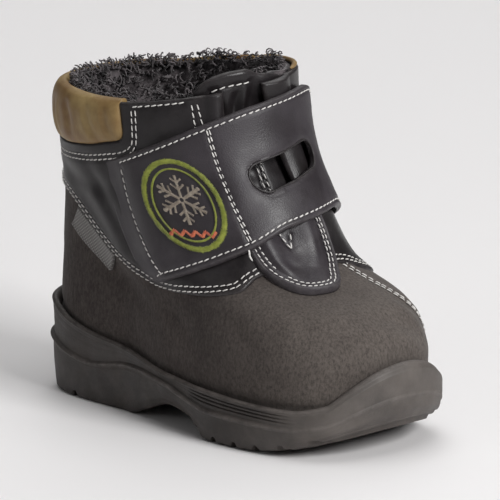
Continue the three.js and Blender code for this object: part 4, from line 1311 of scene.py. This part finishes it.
def apronEdge(angle, scale):
    power = 2 / apron["squareness"]
    sine, cosine = np.sin(angle), np.clip(np.cos(angle), 0, 1)
    turn = apron["middle"] + apron["halfTurn"] * scale * np.sign(sine) * np.abs(sine) ** power
    z = apron["high"] - (apron["high"] - apron["tip"]) * scale * cosine ** power
    return turn, z


def makeApron():
    angle = np.linspace(-np.pi / 2, np.pi / 2, apron["columns"])
    angle = angle + 0.12 * np.sin(4 * angle)
    ring = edgedShares(apron["rows"], 30.0, 1.5)[5:]
    ring = (ring - ring[0]) / (ring[-1] - ring[0]) * 0.996 + 0.004
    angleGrid, scale = np.meshgrid(angle, ring)
    turn, z = apronEdge(angleGrid, scale)
    base = skin(turn, z)
    edgeTurn, edgeZ = apronEdge(np.linspace(-np.pi / 2, np.pi / 2, 160), 1.0)
    edgePath = (skin(edgeTurn, edgeZ), outward(edgeTurn, edgeZ))
    edgeDistance = nearPath(base, edgePath[0])[0]
    rows = [besidePath(edgePath, shift) for shift in apron["rowShifts"]]
    vee = [surfacePath(apron["vee"][i:i + 2], 12) for i in range(2)]
    roll = 0.75 * bell(edgeDistance - 1.0, 0.9)
    fade = soft(edgeDistance / 6)
    relief = (foldRelief(base, apron["ridges"]) * fade + stitchRelief(base, rows + vee, 0.4, 0.8)
              + handWaves(base, 14.0, 0.18, 31) * fade)
    thickness = apron["thickness"] + 0.9
    outer = mix(0.3, thickness + roll + relief, roundEdge(edgeDistance, 1.1))
    inner = np.full_like(z, 0.05)
    makeSheet("apron_leather", turn, z, outer, inner, materials["strap"],
              marks={"edge": bell(edgeDistance - 0.5, 0.8)}, replaces=["tongue_base"],
              slot="smooth_leather")
    lifted = raised(rows, thickness - 0.25) + raised(vee, thickness - 0.9)
    makeStitches("apron_stitches", lifted, apron["pitch"])


makeApron()
print("tongue and apron made")


# Strap: grows out of the outer quarter, crosses the throat and closes on the inner side
strap = {
    "turn": [0.236, 0.250, 0.283, 0.333, 0.400, 0.466, 0.560, 0.640, 0.700],
    "low": [0.456, 0.463, 0.489, 0.532, 0.584, 0.641, 0.664, 0.618, 0.564],
    "high": [0.806, 0.823, 0.859, 0.911, 0.975, 1.018, 1.044, 0.982, 0.918],
    "lift": [0.0, 0.0, 0.0, 0.1, 0.9, 1.0, 0.9, 0.2, 0.0],
    "rise": 1.6, "thickness": 2.2, "corner": 7.0, "columns": 260, "rows": 72,
    "slotLength": 31.0, "slotHeight": 9.5, "slotTilt": 12.0, "slotAcross": -2.0, "slotZ": 91.3,
    "slotFrom": 60.0,  # the slot is looked for in front of this x
    "stitchInset": 1.9, "round": 250.0, "roundedTurn": 0.028, "height": 42.0,
    "rootRow": [(0.264, 88.2), (0.262, 80), (0.2635, 70), (0.268, 60), (0.274, 54.6)],
    "frontRow": [(0.3935, 104.8), (0.396, 90), (0.399, 76), (0.402, 66.6)],
    "crossRow": [(0.664, 104.5), (0.668, 90), (0.668, 78), (0.664, 68.5)],
    "folds": [
        {"path": [(0.300, 92), (0.304, 80), (0.300, 66)], "width": 3.6, "depth": 0.35},
        {"path": [(0.408, 100), (0.412, 88), (0.410, 74)], "width": 4.5, "depth": -0.5},
        {"path": [(0.376, 98), (0.379, 86), (0.382, 74)], "width": 4.0, "depth": 0.35},
        {"path": [(0.440, 80), (0.480, 84), (0.520, 85)], "width": 3.0, "depth": 0.3},
        {"path": [(0.590, 106), (0.597, 94), (0.600, 80)], "width": 4.5, "depth": 0.5},
        {"path": [(0.640, 98), (0.648, 86), (0.650, 76)], "width": 4.0, "depth": 0.35},
    ],
}
strapCurve = {key: smoothCurve(strap["turn"], strap[key]) for key in ("low", "high", "lift")}


def strapEdges(turn):
    end = strap["turn"][-1]
    cornerTurn = strap["corner"] / strap["round"]
    past = np.clip((turn - (end - cornerTurn)) / cornerTurn, 0, 1)
    corner = strap["corner"] * (1 - np.sqrt(np.clip(1 - past * past, 0, 1)))
    return (boot["collarHeight"] * strapCurve["low"](turn) + corner,
            boot["collarHeight"] * strapCurve["high"](turn) - corner)


def strapStand(turn):
    rooted = soft((turn - 0.238) / 0.045)
    inner = boot["quarterThickness"] + 0.6 * rooted + strap["rise"] * strapCurve["lift"](turn)
    return inner - 0.9 * (1 - rooted), inner + strap["thickness"] * rooted


slotHalf = strap["slotHeight"] / 2
slotReach = strap["slotLength"] / 2 - slotHalf
slotTilt = math.radians(strap["slotTilt"])


# The slot's own axes, seen from the front: along it and aside of it
def intoSlot(points):
    y, z = points[..., 1] - strap["slotAcross"], points[..., 2] - strap["slotZ"]
    return (y * math.cos(slotTilt) + z * math.sin(slotTilt),
            -y * math.sin(slotTilt) + z * math.cos(slotTilt))


def outOfSlot(along, aside):
    return (strap["slotAcross"] + along * math.cos(slotTilt) - aside * math.sin(slotTilt),
            strap["slotZ"] + along * math.sin(slotTilt) + aside * math.cos(slotTilt))


# Distance to the slot's outline, below nought inside it
def slotDistance(points):
    along, aside = intoSlot(points)
    return np.hypot(along - np.clip(along, -slotReach, slotReach), aside) - slotHalf


def strapPaths():
    turn = np.linspace(0.262, 0.672, 60)
    low, high = strapEdges(turn)
    inset = strap["stitchInset"]
    paths = {"top": surfacePath(np.stack([turn, high - inset], 1), 200),
             "bottom": surfacePath(np.stack([turn, low + inset], 1), 200)}
    for key in ("root", "front", "cross"):
        paths[key] = surfacePath(strap[key + "Row"])
    return paths


def onStrap(path):
    points, normals = path
    stand = strapStand(turnOf(points))[1]
    return points + normals * (stand - 0.18)[:, None], normals


def turnOf(points):
    turns = np.linspace(0.2, 0.72, 700)
    found = np.zeros(len(points))
    for i, point in enumerate(points):
        line = lastPoint(turns, point[2])
        found[i] = turns[np.argmin(np.linalg.norm(line - point, axis=1))]
    return found


def makeStrap():
    across = edgedShares(strap["rows"], strap["height"], 1.3)
    start, end = strap["turn"][0], strap["turn"][-1]
    bend = strap["roundedTurn"]
    straight = np.linspace(start, end - bend, strap["columns"])
    rounded = end - bend * (1 - np.sin(0.5 * np.pi * np.linspace(0, 1, 26)[1:]))
    columns = np.concatenate([straight, rounded])
    turn, share = np.meshgrid(columns, across)
    low, high = strapEdges(turn)
    z = mix(low, high, share)
    base = skin(turn, z)
    paths = strapPaths()
    inner, outer = strapStand(turn)
    edgeDistance = np.minimum(np.minimum(share, 1 - share) * (high - low),
                              (end - turn) * strap["round"] + 0.05)
    relief = (foldRelief(base, strap["folds"]) + handWaves(base, 30.0, 0.22, 41)
              + stitchRelief(base, list(paths.values())))
    relief = relief * soft((turn - 0.24) / 0.03)
    level = skin(turn, z, outer)
    slot = np.where(level[..., 0] > strap["slotFrom"], slotDistance(level), 50.0)
    # the leather turns in a little round the slot
    turnedIn = -0.35 * bell(slot, 1.2)
    outer = mix(inner + 0.2, outer + relief + turnedIn, roundEdge(edgeDistance, 0.9))
    points = snapToSlot(skin(turn, z, outer), slot)
    under = snapToSlot(skin(turn, z, inner), slot)
    rows, count = turn.shape
    faces = sheetFaces(rows, count, False)
    inSlot = (slot < 0.0).ravel()
    keep = ~np.concatenate([inSlot, inSlot])[faces].any(axis=1)
    flat = np.concatenate([points.reshape(-1, 3), under.reshape(-1, 3)])
    # round the slot the edge mark paints the rim lighter: rubbed wear and painted highlight
    edge = bell(edgeDistance, 0.8) + 0.8 * bell(slot, 0.8)
    edge = np.concatenate([edge.ravel(), edge.ravel()])
    allFaces = [list(face) for face in faces[keep]] + slotRim(rows, count, inSlot)
    used = np.unique(np.concatenate([np.ravel(face) for face in allFaces]))
    renumber = np.full(len(flat), -1)
    renumber[used] = np.arange(len(used))
    allFaces = [[int(renumber[v]) for v in face] for face in allFaces]
    makePiece("strap_leather", flat[used], allFaces, materials["strap"], replaces=["strap"],
              slot="smooth_leather", marks={"edge": edge[used]})
    lifted = [onStrap(path) for path in paths.values()]
    lifted.append(onStrap(besidePath(paths["front"], 0.9)))
    makeStitches("strap_stitches", lifted)


# Points just outside the slot move onto its outline
def snapToSlot(points, slot):
    near = (slot >= 0) & (slot < 0.62)
    along, aside = intoSlot(points)
    core = np.clip(along, -slotReach, slotReach)
    away = unit(np.stack([along - core, aside], -1)) * strap["slotHeight"] / 2
    y, z = outOfSlot(core + away[..., 0], away[..., 1])
    moved = points.copy()
    moved[..., 1] = np.where(near, y, points[..., 1])
    moved[..., 2] = np.where(near, z, points[..., 2])
    return moved


# Wall between the strap's two faces round the slot
def slotRim(rows, count, inSlot):
    quads = gridFaces(rows, count)
    keep = ~inSlot[quads].any(axis=1)
    seen = {}  # keeps the order in which the sides were met
    for quad in quads[keep]:
        for a, b in zip(quad, np.roll(quad, -1)):
            seen[(int(a), int(b))] = True
    total = rows * count
    rim = []
    for (a, b) in seen:
        if (b, a) in seen:
            continue
        ra, ka, rb, kb = a // count, a % count, b // count, b % count
        outerEdge = ({ra, rb} == {0} or {ra, rb} == {rows - 1}
                     or {ka, kb} == {0} or {ka, kb} == {count - 1})
        if not outerEdge:
            rim.append([b, a, a + total, b + total])
    return rim


makeStrap()


# Lip round the slot: a fine rolled edge
slotLip = {"halfWidth": 0.38, "halfDepth": 0.5, "sink": 0.30, "columns": 240, "sides": 10}


def makeSlotLip():
    angle = np.linspace(0, 2 * np.pi, 120, endpoint=False)
    along = (slotHalf * np.cos(angle)
             + slotReach * np.sign(np.cos(angle)) * (np.abs(np.cos(angle)) > 1e-6))
    y, z = outOfSlot(along, slotHalf * np.sin(angle))

    def onFace(turn, height):
        return skin(turn, height, strapStand(turn)[1] - slotLip["sink"])
    # the turn and height whose point on the strap's face has this y and z
    turn, height = np.full(len(y), 0.49), z.copy()
    for _ in range(25):
        place, beside = onFace(turn, height), onFace(turn + 0.001, height)
        turn = turn + 0.7 * (y - place[:, 1]) * 0.001 / (beside - place)[:, 1]
        height = height + 0.7 * (z - place[:, 2])
    path = onFace(turn, height)
    closed = np.concatenate([path, path[:1]])
    count, sides = slotLip["columns"], slotLip["sides"]
    at = lengthAlong(closed)
    path = pointsAt(np.linspace(0, at[-1], count, endpoint=False), at, closed)
    for _ in range(6):
        path = (np.roll(path, 1, 0) + 2 * path + np.roll(path, -1, 0)) / 4
    tangent = unit(np.roll(path, -1, 0) - np.roll(path, 1, 0))
    normal = np.broadcast_to([1.0, 0.0, 0.0], path.shape)
    side = unit(np.cross(normal, tangent))
    lift = np.cross(tangent, side)
    turnRound = np.linspace(0, 2 * np.pi, sides, endpoint=False)
    ring = (side[:, None] * np.cos(turnRound)[:, None] * slotLip["halfWidth"]
            + lift[:, None] * np.sin(turnRound)[:, None] * slotLip["halfDepth"])
    points = (path[:, None] + ring).reshape(-1, 3)
    faces = gridFaces(count + 1, sides, 0, True) % (count * sides)
    # the whole lip carries the edge mark and is painted lighter: a painted highlight on the cut edge, with
    # rubbed wear
    makePiece("slot_lip", points, faces, materials["smooth"], replaces=["strap"],
              slot="smooth_leather", marks={"edge": np.full(len(points), 0.7)})


makeSlotLip()
print("strap made")


# Embroidery on the strap: a plain oval ring, a six-armed snow star and a zigzag line
motif = {
    "turn": 0.337, "z": 78.8, "halfWidth": 12.5, "halfHeight": 14.5, "ringWidth": 1.9,
    "innerRingIn": 2.6, "innerRingWidth": 0.7, "round": 262.0,
    "arm": 8.0, "armWidth": 1.25, "branchWidth": 0.8, "starRise": 1.6,
    "zigzagWidth": 15.2, "zigzagLow": -9.4, "zigzagHeight": 0.9, "zigzagSteps": 9, "zigzagThread": 1.1,
    "threadRadius": 0.16, "threadPitch": 0.30,
}


# Satin stitches: threads laid across a path drawn on the strap, in millimetres from the centre
def satinThreads(flatPath, width):
    flatPath = np.array(flatPath, float)
    at = lengthAlong(flatPath)
    count = max(2, int(at[-1] / motif["threadPitch"]))
    centre = pointsAt(np.linspace(0, at[-1], count), at, flatPath)
    tangent = unit(np.gradient(centre, axis=0))
    side = np.stack([-tangent[:, 1], tangent[:, 0]], -1)
    share = np.linspace(-0.5, 0.5, 7)
    jitter = 1 + 0.10 * rng.normal(size=(count, 1, 1))
    flat = centre[:, None] + side[:, None] * (share * width)[None, :, None] * jitter
    bow = 0.34 * (1 - (2 * share) ** 2) + 0.02
    return flat, np.broadcast_to(bow, flat.shape[:2])


def ontoStrap(flat, lift):
    z = motif["z"] + flat[..., 1]
    turn = motif["turn"] + flat[..., 0] / motif["round"]
    stand = strapStand(turn)[1]
    return skin(turn, z, stand - 0.05 + lift), outward(turn, z)


def satinPiece(name, shapes, material):
    flats, bows = zip(*[satinThreads(path, width) for path, width in shapes])
    flat, bow = np.concatenate(flats), np.concatenate(bows)
    paths, normals = ontoStrap(flat, bow)
    points, faces = tubeMesh(paths, normals, motif["threadRadius"], 5)
    makePiece(name, points, faces, material, slot="motif_thread")


def makeMotif():
    angle = np.linspace(0, 2 * np.pi, 200)
    rings = []
    for inward, width in ((0.0, motif["ringWidth"]), (motif["innerRingIn"], motif["innerRingWidth"])):
        oval = np.stack([(motif["halfWidth"] - inward) * np.cos(angle),
                         (motif["halfHeight"] - inward) * np.sin(angle)], -1)
        rings.append((oval, width))
    satinPiece("motif_ring", rings, materials["greenThread"])
    star = []
    for arm in range(6):
        way = math.pi / 2 + arm * math.pi / 3
        direction = np.array([math.cos(way), math.sin(way)])
        cross = np.array([-direction[1], direction[0]])
        middle = np.array([0.0, motif["starRise"]])
        star.append(([middle + direction * 0.8, middle + direction * motif["arm"]], motif["armWidth"]))
        for reach, branch in ((0.42, 2.1), (0.70, 1.7)):
            foot = middle + direction * motif["arm"] * reach
            for sideWay in (-1, 1):
                tip = foot + (direction * 0.8 + cross * sideWay) * branch
                star.append(([foot, tip], motif["branchWidth"]))
    satinPiece("motif_star", star, materials["greyThread"])
    steps = motif["zigzagSteps"]
    zigzag = [(motif["zigzagWidth"] * (i / steps - 0.5),
               motif["zigzagLow"] + motif["zigzagHeight"] * (1 if i % 2 else -1))
              for i in range(steps + 1)]
    satinPiece("motif_zigzag", [(zigzag, motif["zigzagThread"])], materials["orangeThread"])


makeMotif()
print("embroidery made")


# Blank woven tab, folded and sewn in along the outer quarter's edge
tab = {"x0": 29.6, "length": 24.0, "width": 8.5, "thickness": 1.0, "slope": -33.0, "rise": -1.5}


def outerTurn(x, z):
    low, high = np.zeros(np.shape(x)), np.full(np.shape(x), 0.5)
    for _ in range(30):
        middle = (low + high) / 2
        less = lastPoint(middle, z)[..., 0] < x
        low, high = np.where(less, middle, low), np.where(less, high, middle)
    return (low + high) / 2


def makeTab():
    slope = math.radians(tab["slope"])
    z0 = seamZ(outerTurn(np.array(tab["x0"]), np.array(68.2))) + tab["rise"]
    along, across = np.meshgrid(edgedShares(70, tab["length"], 0.8) * tab["length"],
                                edgedShares(26, tab["width"], 0.8) * -tab["width"])
    x = tab["x0"] + along * math.cos(slope) - across * math.sin(slope)
    z = z0 + along * math.sin(slope) + across * math.cos(slope)
    turn = outerTurn(x, z)
    edgeDistance = np.minimum.reduce([along, tab["length"] - along, -across, tab["width"] + across])
    folded = 0.35 * bell(tab["width"] + across, 1.1)
    body = tab["thickness"] * roundEdge(edgeDistance + 0.05, 0.5)
    lift = 0.35 + 0.35 * soft(-across / tab["width"]) + 0.2 * np.sin(along / 4.2) * soft(-across / 4)
    makeSheet("side_tab_woven", turn, z, lift + body + folded, lift - 0.2, materials["tape"],
              marks={"edge": bell(edgeDistance, 0.5)}, replaces=["side_tab"], slot="woven_tape")


makeTab()


# Narrow strip over the heel seam, with a row of stitches down each edge
backStrip = {"width": 13.0, "thickness": 1.3, "low": 66.0, "height": 24.0, "rowShare": 0.76,
             "rowHeights": [69.0, 80.0, 89.5]}


def makeBackStrip():
    perTurn = np.linalg.norm(skin(0.005, 82.5) - skin(-0.005, 82.5)) / 0.01
    halfTurn = backStrip["width"] / 2 / perTurn
    across = edgedShares(40, backStrip["width"], 1.0)
    rise = edgedShares(60, backStrip["height"], 1.0)
    turn, riseGrid = np.meshgrid(mix(-halfTurn, halfTurn, across), rise)
    acrossGrid = np.broadcast_to(across, turn.shape)
    aside = np.abs(acrossGrid - 0.5) * 2
    low = backStrip["low"] + 2.6 * np.clip(aside - 0.3, 0, 1) ** 2
    z = mix(low, collarZ(turn) + 0.6, riseGrid)
    base = skin(turn, z)
    edgeDistance = np.minimum.reduce([acrossGrid * backStrip["width"],
                                      (1 - acrossGrid) * backStrip["width"],
                                      riseGrid * backStrip["height"]])
    paths = [surfacePath([(side * halfTurn * backStrip["rowShare"], height)
                          for height in backStrip["rowHeights"]]) for side in (-1, 1)]
    relief = stitchRelief(base, paths) + handWaves(base, 14.0, 0.15, 51)
    inner = np.full_like(z, 0.4)
    outer = mix(inner, boot["quarterThickness"] + backStrip["thickness"] + relief,
                roundEdge(edgeDistance, 0.8))
    makeSheet("back_strip_leather", turn, z, outer, inner, materials["smooth"],
              marks={"edge": bell(edgeDistance, 0.8)}, replaces=["back_strip"],
              slot="smooth_leather")
    level = boot["quarterThickness"] + backStrip["thickness"] - 0.2
    makeStitches("back_strip_stitches", raised(paths, level))


makeBackStrip()


# A short end of thread hangs from the strap's lower row of stitches
threadTail = [(0.397, 67.0), (0.3985, 65.6), (0.398, 63.8), (0.3965, 62.2), (0.3975, 60.8)]


def makeThreadTail():
    points, normals = surfacePath(threadTail, 16, 4.4)
    tube, faces = tubeMesh(points[None], normals[None], 0.34, 7)
    makePiece("thread_tail", tube, faces, materials["thread"], slot="thread")


makeThreadTail()
print("tab, back strip and thread made")
